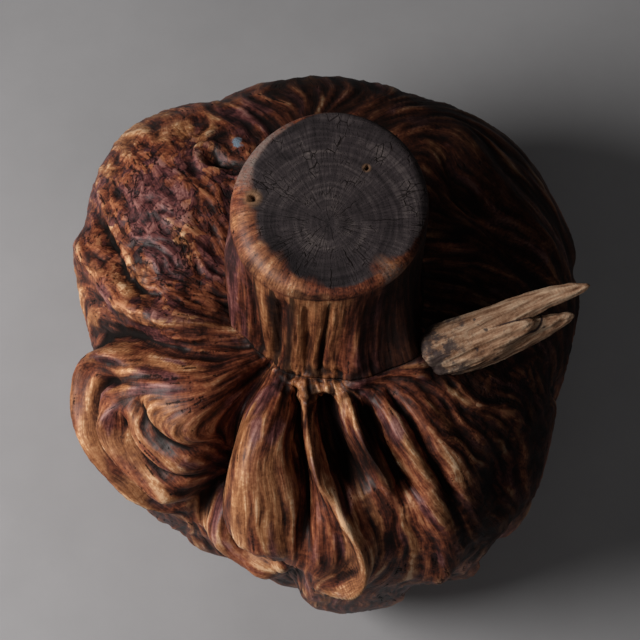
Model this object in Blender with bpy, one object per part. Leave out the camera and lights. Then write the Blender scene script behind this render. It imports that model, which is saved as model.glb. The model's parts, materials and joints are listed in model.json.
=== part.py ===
"""A cleaned oak burl that stands on its sawn base, with a sawn stub on top and a broken twig at its side.

Metres, +Z up. The origin is the middle of the sawn base, +X is the side that the broken twig points to,
and -Y is the front, where the deep folds run down from the stub.

The burl grew as one piece, so it is one closed solid. Its skin is a sphere primitive whose vertices are moved:
one pole becomes the pith of the sawn stub, the other the middle of the sawn base, and every meridian runs
over the stub's face, down its wall, through the moat at its foot, and over the swollen wood to the base.
The twig's shaft and splinters are tapered cones, joined to it with Boolean unions.

Places on the swollen wood are globe angles seen from its heart: (azimuth, elevation) in degrees, azimuth 0
along +X and 90 along +Y, elevation 90 straight up.
"""

import bmesh
import bpy
import numpy as np
from mathutils import Vector

MM = 0.001
TURN = 2 * np.pi

# Mesh density of the skin: steps around, and rows of faces on each stretch of a meridian.
STEPS_AROUND = 118
CROWDING = 0.55  # how much closer the steps are at CROWDED_AZIMUTH, where the folds are
CROWDED_AZIMUTH = np.radians(247)
ROWS = {"face": 4, "wall": 7, "swell": 40, "base": 2}
UPPER_CROWDING = 0.4  # how much closer the rows are near the stub than near the base

# The swollen wood.
HEART_HEIGHT = 92 * MM
CROWN_RISE = 74 * MM  # heart to where the crown would close, hidden by the stub
KEEL_DEPTH = 112 * MM  # heart to where the underside would close, below the saw cut
ROUNDNESS = 2.5  # superellipse power of a meridian: 2 is an ellipse, more is boxier
OUTLINE = (124, 132, 141, 137, 140, 139, 146, 127, 114, 122, 114, 108, 125, 127, 131, 122)  # mm, plan radius

# The sawn stub.
STUB_FOOT_MIDDLE = np.array((3, 4, 160)) * MM
STUB_FACE_MIDDLE = np.array((4, 14, 225)) * MM
FACE_TILT = np.radians(4)  # the saw cut leans towards the front
STUB_RADIUS = (43, 44, 44, 43, 44, 45, 43, 43)  # mm, around from +X
FLAT_SHARE = (0.85, 0.9, 0.93, 0.86, 0.73, 0.74, 0.88, 0.87)  # how much of that radius is still flat
EDGE_DROP = 0.75  # how far the worn edge drops, as a share of its width
FOOT_REACH = (53, 53, 53, 53, 52, 48, 45, 50)  # mm, from the heart's axis out to the foot ring
MOAT_DEPTH = (10, 8, 7, 12, 17, 16, 3, 3)  # mm
MOAT_WIDTH = 15 * MM
FOOT_FLARE = (4, 4, 4, 3, 1, 1, 7, 7)  # mm, how far the foot spreads before it meets the moat

# Swellings and hollows: (azimuth, elevation, spread in degrees, height in mm).
SWELLINGS = (
    (223, 36, 11, 6),
    (148, 30, 22, 4),
    (165, 12, 9, 5),
    (62, 28, 20, 4),
    (20, 30, 20, 3),
    (326, 51, 7, 5),
    (294, 5, 6, 3),
    (327, 52, 6, 5),
    (317, 19, 6, -8),
    (126, 37, 4, -8),
    (345, 15, 14, -3),
    (280, -28, 16, 5),
    (200, -25, 18, 6),
    (120, -20, 22, 5),
    (40, -25, 20, 6),
    (335, -25, 14, 4),
)

# Folds: (places along it, half width in mm, height in mm, overhang in mm). A negative height is a groove.
FOLDS = {
    "left_shoulder_groove": ([(154, 18), (162, 25), (172, 30), (181, 37)], 5, -4, 0),
    "left_shoulder_strap": ([(160, 12), (167, 22), (176, 28), (186, 38), (197, 50)], 7, 5, 0),
    "left_valley": ([(183, -4), (184, 17), (191, 30), (201, 40), (214, 53)], 8, -11, 0),
    "ear_rim": ([(199, 31), (193, 26), (192, 18), (198, 12), (206, 9), (214, 6), (224, 3), (234, 2)], 5.5, 7, 0),
    "ear_groove": ([(203, 27), (199, 20), (203, 15), (209, 12), (217, 9), (226, 6), (234, 6)], 4, -6, 0),
    "ear_inner_rib": ([(206, 22), (208, 17), (213, 14), (221, 12), (229, 11), (236, 11)], 4.5, 4, 0),
    "ear_inner_groove": ([(208, 23), (213, 19), (220, 17), (228, 17), (235, 17)], 4.5, -4, 0),
    "ear_crease": ([(208, 29), (217, 26), (227, 27), (235, 30)], 5, -4, 0),
    "deep_valley": ([(231, 57), (235, 44), (237, 33), (238, 23), (238, 10), (238, -3)], 8, -24, 0),
    "clove": ([(245, 54), (244, 43), (247, 33), (251, 24), (254, 16), (256, 9)], 14.5, 12, 3),
    "under_clove_roll": ([(237, 9), (243, 0), (251, -4), (260, -2)], 8, 7, 1),
    "under_clove_groove": ([(240, 16), (245, 6), (253, 1), (262, 4)], 5, -7, 0),
    "clove_right_groove": ([(252, 55), (259, 46), (263, 37), (266, 28), (266, 16)], 5, -11, 0),
    "hooked_rib": ([(261, 53), (265, 44), (269, 36), (274, 30), (278, 23), (279, 15), (276, 8), (270, 3)], 5, 8, 0),
    "black_pocket": ([(270, 54), (273, 45), (276, 37), (280, 29)], 7.5, -16, 0),
    "pocket_rib": ([(282, 54), (284, 44), (287, 37), (290, 29)], 4, 6, 0),
    "second_pocket": ([(288, 52), (291, 40), (293, 32), (294, 26)], 5.5, -10, 0),
    "long_rib": ([(293, 53), (296, 42), (298, 32), (298, 23), (298, 14), (295, 5), (290, -2)], 8, 6, 0),
    "long_rib_crease": ([(301, 51), (302, 41), (302, 32), (303, 20)], 4, -4, 0),
    "outer_rib": ([(309, 48), (308, 37), (307, 28), (306, 19), (304, 7)], 7, 4, 0),
    "twig_root_ridge": ([(282, 56), (298, 57), (312, 56), (324, 54)], 5, 5, 0),
    "right_sweep": ([(60, 24), (41, 31), (24, 28), (7, 18)], 8, 4, 0),
    "right_sweep_groove": ([(52, 34), (36, 38), (19, 34), (3, 25)], 7, -4, 0),
    "bottom_groove": ([(262, 10), (264, 0), (262, -15), (268, -35)], 6, -8, 0),
}

# Grooves and rolls low on the sides and back: (top, foot, sideways bow in degrees, half width, height).
SIDE_FOLDS = (
    ((12, 10), (26, -50), 8, 8, -7),
    ((44, -6), (38, -50), -6, 7, -5),
    ((68, 17), (56, -36), 7, 10, -8),
    ((93, -2), (102, -50), -8, 8, -7),
    ((111, 18), (104, -20), 9, 8, -5),
    ((139, 8), (152, -50), 8, 9, -8),
    ((166, -14), (160, -50), -5, 7, -5),
    ((207, -8), (218, -50), 6, 7, -6),
    ((291, -6), (279, -50), 7, 7, -6),
    ((316, 4), (325, -46), -8, 8, -7),
    ((343, 14), (338, -24), 8, 8, -5),
    ((26, 12), (8, -30), -9, 10, 5),
    ((83, 8), (72, -40), 8, 11, 5),
    ((124, 4), (120, -40), -8, 10, 5),
    ((232, -16), (242, -46), 5, 8, 5),
    ((303, -14), (300, -48), 6, 9, 5),
)

# Flutes down the stub's wall: (azimuth in degrees, half width in mm, depth in mm, lean in degrees).
FLUTES = (
    (242, 3.2, 3.2, -6),
    (256, 2.2, 2.4, 4),
    (269, 1.5, 2.5, 1),
    (192, 8, -4, 10),
    (215, 3, 2.5, 8),
    (298, 5, 1.5, 0),
    (330, 7, 2, 4),
    (20, 6, 2, -5),
    (75, 7, 2, 5),
    (140, 6, 2, -4),
)

# The broken twig: a shaft and its splinters, (start, end, start radius, end radius) in mm.
TWIG_SIDES = 12
TWIG_PIECES = (
    ((42, -34, 156), (86, -23, 176), 12.5, 10),
    ((56, -27, 167), (119, -11.5, 195), 9.5, 3),
    ((64, -31, 171), (94, -26, 185), 7.5, 2.5),
    ((58, -36, 164), (85, -33, 178), 7, 2),
    ((64, -28, 162), (113, -18, 178), 8, 2.5),
)

WOOD_COLOUR = (0.16, 0.065, 0.03, 1)


def smoothstep(value, low, high):
    """0 below low and 1 above high, with a soft S between them."""
    share = np.clip((value - low) / (high - low), 0, 1)
    return share * share * (3 - 2 * share)


def catmull_rom(a, b, c, d, f):
    """The smooth curve from b to c, with a before and d after them, at share f."""
    return b + 0.5 * f * (c - a + f * (2 * a - 5 * b + 4 * c - d + f * (3 * (b - c) + d - a)))


def around(values, azimuth):
    """A closed smooth curve through equally spaced values, the first at azimuth 0."""
    values = np.asarray(values, float)
    place = azimuth / TURN % 1 * len(values)
    span = np.floor(place).astype(int)
    a, b, c, d = (values[(span + step) % len(values)] for step in (-1, 0, 1, 2))
    return catmull_rom(a, b, c, d, place - span)


def direction(azimuth, elevation):
    """Unit vectors that point at globe angles, in radians."""
    level = np.cos(elevation)
    return np.stack((level * np.cos(azimuth), level * np.sin(azimuth), np.sin(elevation)), -1)


def unit(vectors):
    return vectors / np.linalg.norm(vectors, axis=-1, keepdims=True)


def fold_line(places, steps=10):
    """A smooth line of unit vectors through the places."""
    corners = direction(*np.radians(places).T)
    padded = np.vstack((2 * corners[0] - corners[1], corners, 2 * corners[-1] - corners[-2]))
    share = np.arange(steps)[:, None] / steps
    spans = [catmull_rom(*padded[i : i + 4], share) for i in range(len(places) - 1)]
    return unit(np.vstack((*spans, corners[-1:])))


def bowed_line(top, foot, bow):
    """Places of a fold from top to foot that bows sideways once on its way down."""
    share = np.linspace(0, 1, 6)[:, None]
    return np.array(top) * (1 - share) + np.array(foot) * share + np.sin(share * TURN / 2) * (bow, 0)


def all_folds():
    """(line, half width, height, overhang) of every fold, in metres."""
    for places, width, height, overhang in FOLDS.values():
        yield fold_line(places), width * MM, height * MM, overhang * MM
    for top, foot, bow, width, height in SIDE_FOLDS:
        yield fold_line(bowed_line(top, foot, bow)), width * MM, height * MM, 0.0


def fold_shift(aim, radius, line, width, height, overhang):
    """How far one fold raises each point, and the sideways push that makes a roll hang over its flanks.

    The distance to the line is measured across it, in metres on the globe, and the height falls off as a
    bell. Both ends fade out over a fifth of the line's length.
    """
    last = len(line) - 1
    tangent = np.gradient(line, axis=0)
    step = np.linalg.norm(tangent, axis=-1)
    nearest = np.argmax(aim @ line.T, axis=1)
    offset = aim - line[nearest]
    past = np.sum(offset * tangent[nearest], -1) / step[nearest] ** 2
    place = np.clip(nearest + past, 0, last)
    across = offset - tangent[nearest] * (place - nearest)[:, None]
    distance = np.linalg.norm(across, axis=-1) * radius
    fade = smoothstep(place / last, -0.05, 0.2) * smoothstep(1 - place / last, -0.05, 0.2)
    bell = np.exp(-((distance / width) ** 2)) * fade
    sideways = across * radius[:, None] / width * (bell * overhang)[:, None]
    return bell * height, sideways


def globe_radius(azimuth, elevation):
    """Smooth radius of the swollen wood: a superellipse meridian on the plan outline."""
    rise = np.where(elevation > 0, CROWN_RISE, KEEL_DEPTH)
    level = np.cos(elevation) / (around(OUTLINE, azimuth) * MM)
    upright = np.abs(np.sin(elevation)) / rise
    return (level**ROUNDNESS + upright**ROUNDNESS) ** (-1 / ROUNDNESS)


def foot_elevation(azimuth):
    """Elevation at which the swollen wood is FOOT_REACH from the axis, which is the ring at the stub's foot."""
    reach = around(FOOT_REACH, azimuth) * MM
    elevation = np.radians(55) * np.ones_like(azimuth)
    for _ in range(12):
        elevation = np.arccos(np.clip(reach / globe_radius(azimuth, elevation), 0, 1))
    return elevation


def swollen_wood(azimuth, elevation):
    """Points of the swollen wood: the globe, with its swellings, its folds and the moat round the stub."""
    aim = direction(azimuth, elevation)
    radius = globe_radius(azimuth, elevation)
    raised = np.zeros_like(radius)
    pushed = np.zeros_like(aim)
    for at_azimuth, at_elevation, spread, height in SWELLINGS:
        away = np.linalg.norm(aim - direction(*np.radians((at_azimuth, at_elevation))), axis=-1)
        raised += height * MM * np.exp(-((away / np.radians(spread)) ** 2))
    for line, width, height, overhang in all_folds():
        up, sideways = fold_shift(aim, radius, line, width, height, overhang)
        raised += up
        pushed += sideways
    from_foot = (foot_elevation(azimuth) - elevation) * radius
    raised -= around(MOAT_DEPTH, azimuth) * MM * np.exp(-((from_foot / MOAT_WIDTH) ** 2))
    return np.array((0, 0, HEART_HEIGHT)) + aim * (radius + raised)[:, None] + pushed


def rim_elevation(azimuth):
    """Elevation at which the saw cut under the burl, the plane z = 0, crosses each meridian."""
    tries = np.radians(np.linspace(-36, -72, 46))
    heights = [swollen_wood(azimuth, np.full_like(azimuth, tried))[:, 2] for tried in tries]
    heights = np.array(heights)
    below = np.argmax(heights < 0, axis=0)
    column = np.arange(len(azimuth))
    high, low = heights[below - 1, column], heights[below, column]
    return tries[below - 1] + (tries[below] - tries[below - 1]) * high / (high - low)


def stub_face(azimuth, share):
    """The sawn face: share 0 is the pith, 0.5 the edge of the flat, and from there the worn edge rolls over."""
    sideways = np.array((1, 0, 0))
    normal = np.array((0, -np.sin(FACE_TILT), np.cos(FACE_TILT)))
    forwards = np.cross(normal, sideways)
    outwards = np.cos(azimuth)[:, None] * sideways + np.sin(azimuth)[:, None] * forwards
    radius = around(STUB_RADIUS, azimuth) * MM
    flat = around(FLAT_SHARE, azimuth) * radius
    roll = np.clip(2 * share - 1, 0, 1) * TURN / 4
    reach = flat * np.clip(2 * share, 0, 1) + (radius - flat) * np.sin(roll)
    drop = (radius - flat) * EDGE_DROP * (1 - np.cos(roll))
    return STUB_FACE_MIDDLE + outwards * reach[:, None] - normal * drop[:, None]


def stub_wall(azimuth, share):
    """The stub's wall: a Bezier curve from the worn edge down to the moat, with a flare and flutes."""
    top = stub_face(azimuth, np.ones_like(azimuth))
    foot = swollen_wood(azimuth, foot_elevation(azimuth))
    axis = unit(STUB_FACE_MIDDLE - STUB_FOOT_MIDDLE)
    outwards = direction(azimuth, np.zeros_like(azimuth))
    length = np.linalg.norm(top - foot, axis=-1)[:, None]
    flare = (around(FOOT_FLARE, azimuth) * MM)[:, None]
    under_edge = top - axis * length * 0.35
    over_foot = foot + axis * length * 0.22 - outwards * flare
    t = share[:, None]
    curve = (1 - t) ** 3 * top + 3 * (1 - t) ** 2 * t * under_edge
    curve += 3 * (1 - t) * t**2 * over_foot + t**3 * foot
    reach = np.linalg.norm(curve[:, :2] - STUB_FOOT_MIDDLE[:2], axis=-1)
    dent = np.zeros_like(azimuth)
    for at_azimuth, width, depth, lean in FLUTES:
        turn = azimuth - np.radians(at_azimuth + lean * share)
        away = np.abs(np.angle(np.exp(1j * turn))) * reach
        dent += depth * MM * np.exp(-((away / (width * MM)) ** 2))
    ends = smoothstep(share, 0, 0.25) * smoothstep(1 - share, 0, 0.12)
    return curve - outwards * (dent * ends)[:, None]


def burl_skin(azimuth, station):
    """Points of the whole skin. Station 0 is the pith of the sawn face, 1 the top of the stub's wall, 2 the
    ring at the stub's foot, 3 the rim of the base and 4 the middle of the base."""
    points = np.zeros((len(azimuth), 3))
    part = station <= 1
    points[part] = stub_face(azimuth[part], station[part])
    part = (station > 1) & (station < 2)
    points[part] = stub_wall(azimuth[part], station[part] - 1)
    part = (station >= 2) & (station <= 3)
    foot, rim = foot_elevation(azimuth[part]), rim_elevation(azimuth[part])
    points[part] = swollen_wood(azimuth[part], foot + (rim - foot) * (station[part] - 2))
    part = station >= 3
    rim_points = swollen_wood(azimuth[part], rim_elevation(azimuth[part]))
    points[part] = rim_points * (4 - station[part])[:, None]
    points[part, 2] = 0
    return points


def row_stations():
    """The station of each ring of vertices, from pole to pole."""
    stretches = {name: np.arange(1, count + 1) / count for name, count in ROWS.items()}
    stretches["swell"] *= 1 - UPPER_CROWDING * (1 - stretches["swell"])
    return np.concatenate([[0.0]] + [start + shares for start, shares in enumerate(stretches.values())])


def make_skin(name):
    """A sphere primitive with its vertices moved onto the burl's skin."""
    stations = row_stations()
    sphere = bmesh.new()
    bmesh.ops.create_uvsphere(sphere, u_segments=STEPS_AROUND, v_segments=len(stations) - 1, radius=1)
    mesh = bpy.data.meshes.new(name)
    sphere.to_mesh(mesh)
    sphere.free()
    places = np.zeros(len(mesh.vertices) * 3)
    mesh.vertices.foreach_get("co", places)
    x, y, z = places.reshape(-1, 3).T
    row = np.rint(np.arccos(np.clip(z, -1, 1)) / np.pi * (len(stations) - 1)).astype(int)
    azimuth = np.arctan2(y, x)
    azimuth -= CROWDING * np.sin(azimuth - CROWDED_AZIMUTH)
    mesh.vertices.foreach_set("co", burl_skin(azimuth, stations[row]).ravel())
    mesh.update()
    return bpy.data.objects.new(name, mesh)


def make_tapered(name, start, end, start_radius, end_radius):
    """A closed tapered cone between two points."""
    start, end = Vector(start) * MM, Vector(end) * MM
    cone = bmesh.new()
    bmesh.ops.create_cone(
        cone,
        cap_ends=True,
        segments=TWIG_SIDES,
        radius1=start_radius * MM,
        radius2=end_radius * MM,
        depth=(end - start).length,
    )
    mesh = bpy.data.meshes.new(name)
    cone.to_mesh(mesh)
    cone.free()
    piece = bpy.data.objects.new(name, mesh)
    piece.rotation_euler = (end - start).to_track_quat("Z", "Y").to_euler()
    piece.location = (start + end) / 2
    piece.hide_render = True
    piece.display_type = "WIRE"
    return piece


def wood():
    """Oiled burl wood."""
    material = bpy.data.materials.new("burl_wood")
    material.use_nodes = True
    shader = material.node_tree.nodes["Principled BSDF"]
    shader.inputs["Base Color"].default_value = WOOD_COLOUR
    shader.inputs["Roughness"].default_value = 0.55
    shader.inputs["Metallic"].default_value = 0
    return material


def main():
    for thing in list(bpy.data.objects):
        bpy.data.objects.remove(thing)
    parts = bpy.data.collections.new("oak_burl")
    helpers = bpy.data.collections.new("twig_pieces")
    for collection in (parts, helpers):
        bpy.context.scene.collection.children.link(collection)
    burl = make_skin("oak_burl")
    parts.objects.link(burl)
    burl.data.materials.append(wood())
    for number, (start, end, start_radius, end_radius) in enumerate(TWIG_PIECES, 1):
        piece = make_tapered(f"twig_piece_{number}", start, end, start_radius, end_radius)
        helpers.objects.link(piece)
        union = burl.modifiers.new(f"join_{piece.name}", "BOOLEAN")
        union.operation = "UNION"
        union.object = piece
    burl.data.shade_smooth()
    burl.data.set_sharp_from_angle(angle=np.radians(75))


main()
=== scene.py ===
# %% [markdown]
# # An oak burl, from its folds down to its pores
#
# A burl is a swelling where a tree's grain lost its way. This one was cleaned, oiled and sawn off flat, so it
# shows three kinds of surface: swirling side grain on the swollen wood, dark end grain on the sawn stub, and
# pale bare fibres on a broken twig. The lesson builds each as a surface worked out with numpy, carries the
# direction of the grain over it as attributes, and lets the shaders draw the colour and the pores along it.
#
# Everything is in metres with +Z up, in the frame of the solid model, which is loaded first.

import json

import bpy
import numpy as np
from mathutils import Matrix, Vector


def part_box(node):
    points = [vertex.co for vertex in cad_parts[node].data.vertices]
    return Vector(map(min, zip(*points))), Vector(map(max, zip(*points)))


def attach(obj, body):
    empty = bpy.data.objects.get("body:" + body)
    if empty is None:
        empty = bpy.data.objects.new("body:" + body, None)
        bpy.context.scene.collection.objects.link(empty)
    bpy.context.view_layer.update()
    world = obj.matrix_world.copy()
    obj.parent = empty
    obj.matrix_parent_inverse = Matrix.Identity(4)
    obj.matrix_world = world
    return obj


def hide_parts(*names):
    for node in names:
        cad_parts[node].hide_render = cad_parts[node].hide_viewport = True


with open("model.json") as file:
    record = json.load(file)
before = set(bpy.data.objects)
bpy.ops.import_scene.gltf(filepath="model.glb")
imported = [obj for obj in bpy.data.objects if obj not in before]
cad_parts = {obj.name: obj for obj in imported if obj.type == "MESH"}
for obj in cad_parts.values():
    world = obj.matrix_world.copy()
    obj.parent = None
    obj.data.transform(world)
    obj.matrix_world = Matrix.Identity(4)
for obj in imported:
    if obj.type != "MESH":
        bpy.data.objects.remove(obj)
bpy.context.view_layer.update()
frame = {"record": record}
MOUNTS = {mount["name"]: mount for mount in frame["record"]["mounts"]}
MM = 0.001
TURN = 2 * np.pi
LOW, HIGH = (np.array(corner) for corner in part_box("oak_burl"))
print("solid model, mm:", np.round((HIGH - LOW) / MM, 1))

# %% [markdown]
# ## Small helpers for curves and places
#
# Places on the swollen wood are globe angles seen from its heart: azimuth 0 along +X and 90 along +Y, and
# elevation 90 straight up. A Catmull-Rom curve passes through every point it is given, which makes it handy
# for outlines and for lines drawn over the globe.


# %% Curves and places
def smoothstep(value, low, high):
    """3 t^2 - 2 t^3, with t going from 0 at low to 1 at high: a soft S between 0 and 1."""
    share = np.clip((value - low) / (high - low), 0, 1)
    return share * share * (3 - 2 * share)


def catmull_rom(a, b, c, d, f):
    """The smooth curve from b to c, with a before and d after them, at share f."""
    return b + 0.5 * f * (c - a + f * (2 * a - 5 * b + 4 * c - d + f * (3 * (b - c) + d - a)))


def around(values, azimuth):
    """A closed smooth curve through equally spaced values, the first at azimuth 0."""
    values = np.asarray(values, float)
    place = azimuth / TURN % 1 * len(values)
    span = np.floor(place).astype(int)
    a, b, c, d = (values[(span + step) % len(values)] for step in (-1, 0, 1, 2))
    return catmull_rom(a, b, c, d, place - span)


def direction(azimuth, elevation):
    """Unit vectors that point at globe angles, in radians."""
    level = np.cos(elevation)
    return np.stack((level * np.cos(azimuth), level * np.sin(azimuth), np.sin(elevation)), -1)


def unit(vectors):
    """The vectors at length 1."""
    return vectors / np.maximum(np.linalg.norm(vectors, axis=-1, keepdims=True), 1e-12)


def smooth_line(corners, steps=12):
    """A Catmull-Rom curve through the corners, with its ends carried on straight."""
    corners = np.asarray(corners, float)
    padded = np.vstack((2 * corners[0] - corners[1], corners, 2 * corners[-1] - corners[-2]))
    share = np.arange(steps)[:, None] / steps
    spans = [catmull_rom(*padded[i : i + 4], share) for i in range(len(corners) - 1)]
    return np.vstack((*spans, corners[-1:]))


def globe_line(places):
    """A smooth line of unit vectors through globe places in degrees."""
    return unit(smooth_line(direction(*np.radians(places).T)))


# %% [markdown]
# ## Noise
#
# Gradient noise gives every corner of a lattice a random slope, and blends the eight slopes around a point.
# Its bumps are one unit apart, so points are divided by the size that the bumps should have. The same seed
# always gives the same noise, and the two gains bring both kinds of noise to about the same strength.


# %% Noise
LATTICE = 32
SOFT_GAIN, ROUGH_GAIN = 1.6, 1.5


def soft_noise(points, seed):
    """Gradient noise about 0: the eight nearest lattice corners' random slopes, eased into each other."""
    slopes = unit(np.random.default_rng(seed).normal(size=(LATTICE, LATTICE, LATTICE, 3)))
    cell = np.floor(points).astype(int)
    inside = points - cell
    ease = inside**3 * (inside * (inside * 6 - 15) + 10)
    total = np.zeros(len(points))
    for corner in np.ndindex(2, 2, 2):
        slope = slopes[tuple(((cell + corner) % LATTICE).T)]
        weight = np.prod(np.where(corner, ease, 1 - ease), axis=-1)
        total += weight * np.sum(slope * (inside - corner), axis=-1)
    return total * SOFT_GAIN


def rough_noise(points, seed, octaves=3):
    """Soft noise with finer layers added, each twice as fine and half as strong."""
    layers = [soft_noise(points * 2.0**layer, seed + layer) / 2.0**layer for layer in range(octaves)]
    return sum(layers) / ROUGH_GAIN


# %% [markdown]
# ## The big form
#
# The swollen wood is a squashed globe: each meridian is a superellipse, which bulges more than an ellipse.
# Its plan outline is a closed curve through sixteen radii. The numbers are the solid model's own, so the
# finished surface lies on it. The lists go around from azimuth 0 in equal steps, in mm, apart from
# FLAT_SHARE, which is the flat part of the stub's radius.

# %% Sizes of the big form
HEART_HEIGHT = 92 * MM
CROWN_RISE = 74 * MM
KEEL_DEPTH = 112 * MM
ROUNDNESS = 2.5
OUTLINE = (124, 132, 141, 137, 140, 139, 146, 127, 114, 122, 114, 108, 125, 127, 131, 122)
HEART = np.array((0, 0, HEART_HEIGHT))

STUB_FACE_MIDDLE = np.array(MOUNTS["sawn_face"]["pos_m"])
STUB_FACE_NORMAL = unit(np.array(MOUNTS["sawn_face"]["axis"]))
STUB_FOOT_MIDDLE = np.array((3, 4, 160)) * MM
STUB_RADIUS = (43, 44, 44, 43, 44, 45, 43, 43)
FLAT_SHARE = (0.85, 0.9, 0.93, 0.86, 0.73, 0.74, 0.88, 0.87)
EDGE_DROP = 0.75
FOOT_REACH = (53, 53, 53, 53, 52, 48, 45, 50)
MOAT_DEPTH = (10, 8, 7, 12, 17, 16, 3, 3)
MOAT_WIDTH = 15 * MM
FOOT_FLARE = (4, 4, 4, 3, 1, 1, 7, 7)
TOP_HANDLE, FOOT_HANDLE = 0.35, 0.22


def globe_radius(azimuth, elevation):
    """A superellipse: (cos(elevation) / outline)^n + (|sin(elevation)| / rise)^n, to the power -1/n."""
    rise = np.where(elevation > 0, CROWN_RISE, KEEL_DEPTH)
    level = np.cos(elevation) / (around(OUTLINE, azimuth) * MM)
    upright = np.abs(np.sin(elevation)) / rise
    return (level**ROUNDNESS + upright**ROUNDNESS) ** (-1 / ROUNDNESS)


FIRST_GUESS, ROUNDS = np.radians(55), 12


def foot_elevation(azimuth):
    """Elevation whose cosine times the globe's radius is FOOT_REACH, found by repeating: the foot's ring."""
    reach = around(FOOT_REACH, azimuth) * MM
    elevation = np.full_like(azimuth, FIRST_GUESS)
    for _ in range(ROUNDS):
        elevation = np.arccos(np.clip(reach / globe_radius(azimuth, elevation), 0, 1))
    return elevation


print("foot ring, degrees up:", np.degrees(foot_elevation(np.arange(0, TURN, TURN / 8))).round(1))

# %% [markdown]
# ## Swellings and folds
#
# A burl's folds are where its wood met itself and rolled over. Each fold here is a line drawn on the globe
# with a half width and a height: a positive height is a rib, a negative one a groove. Across the line the
# height falls off as a bell. A rib with an overhang is also pushed sideways, away from its line, so that it
# rolls out over its flanks like a lip. Every line starts near the stub and runs the way the grain grew,
# because the same lines steer the grain later.

# %% The folds
# each swelling: azimuth, elevation, spread in degrees, height in mm
SWELLINGS = (
    (223, 36, 11, 6),
    (148, 30, 22, 4),
    (165, 12, 9, 5),
    (62, 28, 20, 4),
    (20, 30, 20, 3),
    (326, 51, 7, 5),
    (294, 5, 6, 3),
    (327, 52, 5, 6),
    (317, 53, 4.5, 7),
    (317, 19, 6, -8),
    (126, 37, 4, -8),
    (345, 15, 14, -3),
    (280, -28, 16, 5),
    (200, -25, 18, 6),
    (120, -20, 22, 5),
    (40, -25, 20, 6),
    (335, -25, 14, 4),
)

# each fold: its places as (azimuth, elevation), half width, height and overhang in mm
FOLDS = {
    "left_shoulder_groove": ([(184, 40), (172, 30), (162, 25), (152, 16)], 3.5, -5, 0),
    "left_shoulder_strap": ([(198, 51), (186, 38), (176, 28), (167, 21), (159, 11)], 7, 5, 1),
    "left_valley": ([(215, 54), (202, 41), (191, 30), (184, 17), (183, -4)], 7, -11, 0),
    "ear_rim": (
        [(199, 31), (193, 26), (192, 18), (198, 12), (206, 9), (214, 6), (224, 3), (234, 2)],
        4.2, 8, 1,
    ),
    "ear_groove": ([(203, 27), (199, 20), (203, 15), (209, 12), (217, 9), (226, 6), (234, 6)], 2.8, -8, 0),
    "ear_inner_rib": ([(206, 22), (208, 17), (213, 14), (221, 12), (229, 11), (236, 11)], 3.2, 5.5, 0.5),
    "ear_inner_groove": ([(208, 23), (213, 19), (220, 17), (228, 17), (235, 17)], 3.2, -6, 0),
    "ear_crease": ([(208, 29), (217, 26), (227, 27), (235, 30)], 3.5, -5, 0),
    "deep_valley": ([(231, 57), (235, 44), (237, 33), (238, 23), (238, 10), (238, -3)], 8, -26, 0),
    "clove": ([(245, 54), (244, 43), (247, 33), (251, 24), (254, 16), (256, 9)], 14.5, 12, 3.5),
    "under_clove_roll": ([(237, 9), (243, 0), (251, -4), (260, -2)], 8, 7, 2),
    "under_clove_groove": ([(240, 16), (245, 6), (253, 1), (262, 4)], 4, -9, 0),
    "clove_right_groove": ([(252, 55), (259, 46), (263, 37), (266, 28), (266, 16)], 4.5, -14, 0),
    "hooked_rib": (
        [(261, 53), (265, 44), (269, 36), (274, 30), (278, 23), (279, 15), (276, 8), (270, 3)],
        3.4, 10, 1,
    ),
    "black_pocket": ([(270, 54), (273, 45), (276, 37), (280, 29)], 7.5, -23, 0),
    "pocket_rib": ([(282, 54), (284, 44), (287, 37), (290, 29)], 2.8, 9, 0.5),
    "second_pocket": ([(288, 52), (291, 40), (293, 32), (294, 26)], 4.5, -12, 0),
    "long_rib": ([(293, 53), (296, 42), (298, 32), (298, 23), (298, 14), (295, 5), (290, -2)], 8, 6, 1),
    "long_rib_crease": ([(301, 51), (302, 41), (302, 32), (303, 20)], 2.5, -5, 0),
    "outer_rib": ([(309, 48), (308, 37), (307, 28), (306, 19), (304, 7)], 7, 4, 0),
    "twig_root_ridge": ([(282, 56), (298, 57), (312, 56), (324, 54)], 5, 5, 0),
    "knot_lip": (
        [(123, 39), (127, 39.5), (130, 37), (129, 34), (126, 33), (122.5, 34.5), (122.5, 37.5)],
        2.2, 4, 0,
    ),
    "right_sweep": ([(60, 24), (41, 31), (24, 28), (7, 18)], 7, 4, 0),
    "right_sweep_groove": ([(52, 34), (36, 38), (19, 34), (3, 25)], 5, -4, 0),
    "bottom_groove": ([(262, 10), (264, 0), (262, -15), (268, -35)], 6, -8, 0),
}

# each side fold: top and foot as (azimuth, elevation), bow in degrees, half width and height in mm
SIDE_FOLDS = (
    ((12, 10), (26, -50), 8, 8, -7),
    ((44, -6), (38, -50), -6, 7, -5),
    ((68, 17), (56, -36), 7, 10, -8),
    ((93, -2), (102, -50), -8, 8, -7),
    ((111, 18), (104, -20), 9, 8, -5),
    ((139, 8), (152, -50), 8, 9, -8),
    ((166, -14), (160, -50), -5, 7, -5),
    ((207, -8), (218, -50), 6, 7, -6),
    ((291, -6), (279, -50), 7, 7, -6),
    ((316, 4), (325, -46), -8, 8, -7),
    ((343, 14), (338, -24), 8, 8, -5),
    ((26, 12), (8, -30), -9, 10, 5),
    ((83, 8), (72, -40), 8, 11, 5),
    ((124, 4), (120, -40), -8, 10, 5),
    ((232, -16), (242, -46), 5, 8, 5),
    ((303, -14), (300, -48), 6, 9, 5),
)


def bowed_line(top, foot, bow):
    """Places of a fold: straight from top to foot, plus bow times the sine of half a turn."""
    share = np.linspace(0, 1, 6)[:, None]
    return np.array(top) * (1 - share) + np.array(foot) * share + np.sin(share * TURN / 2) * (bow, 0)


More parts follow.
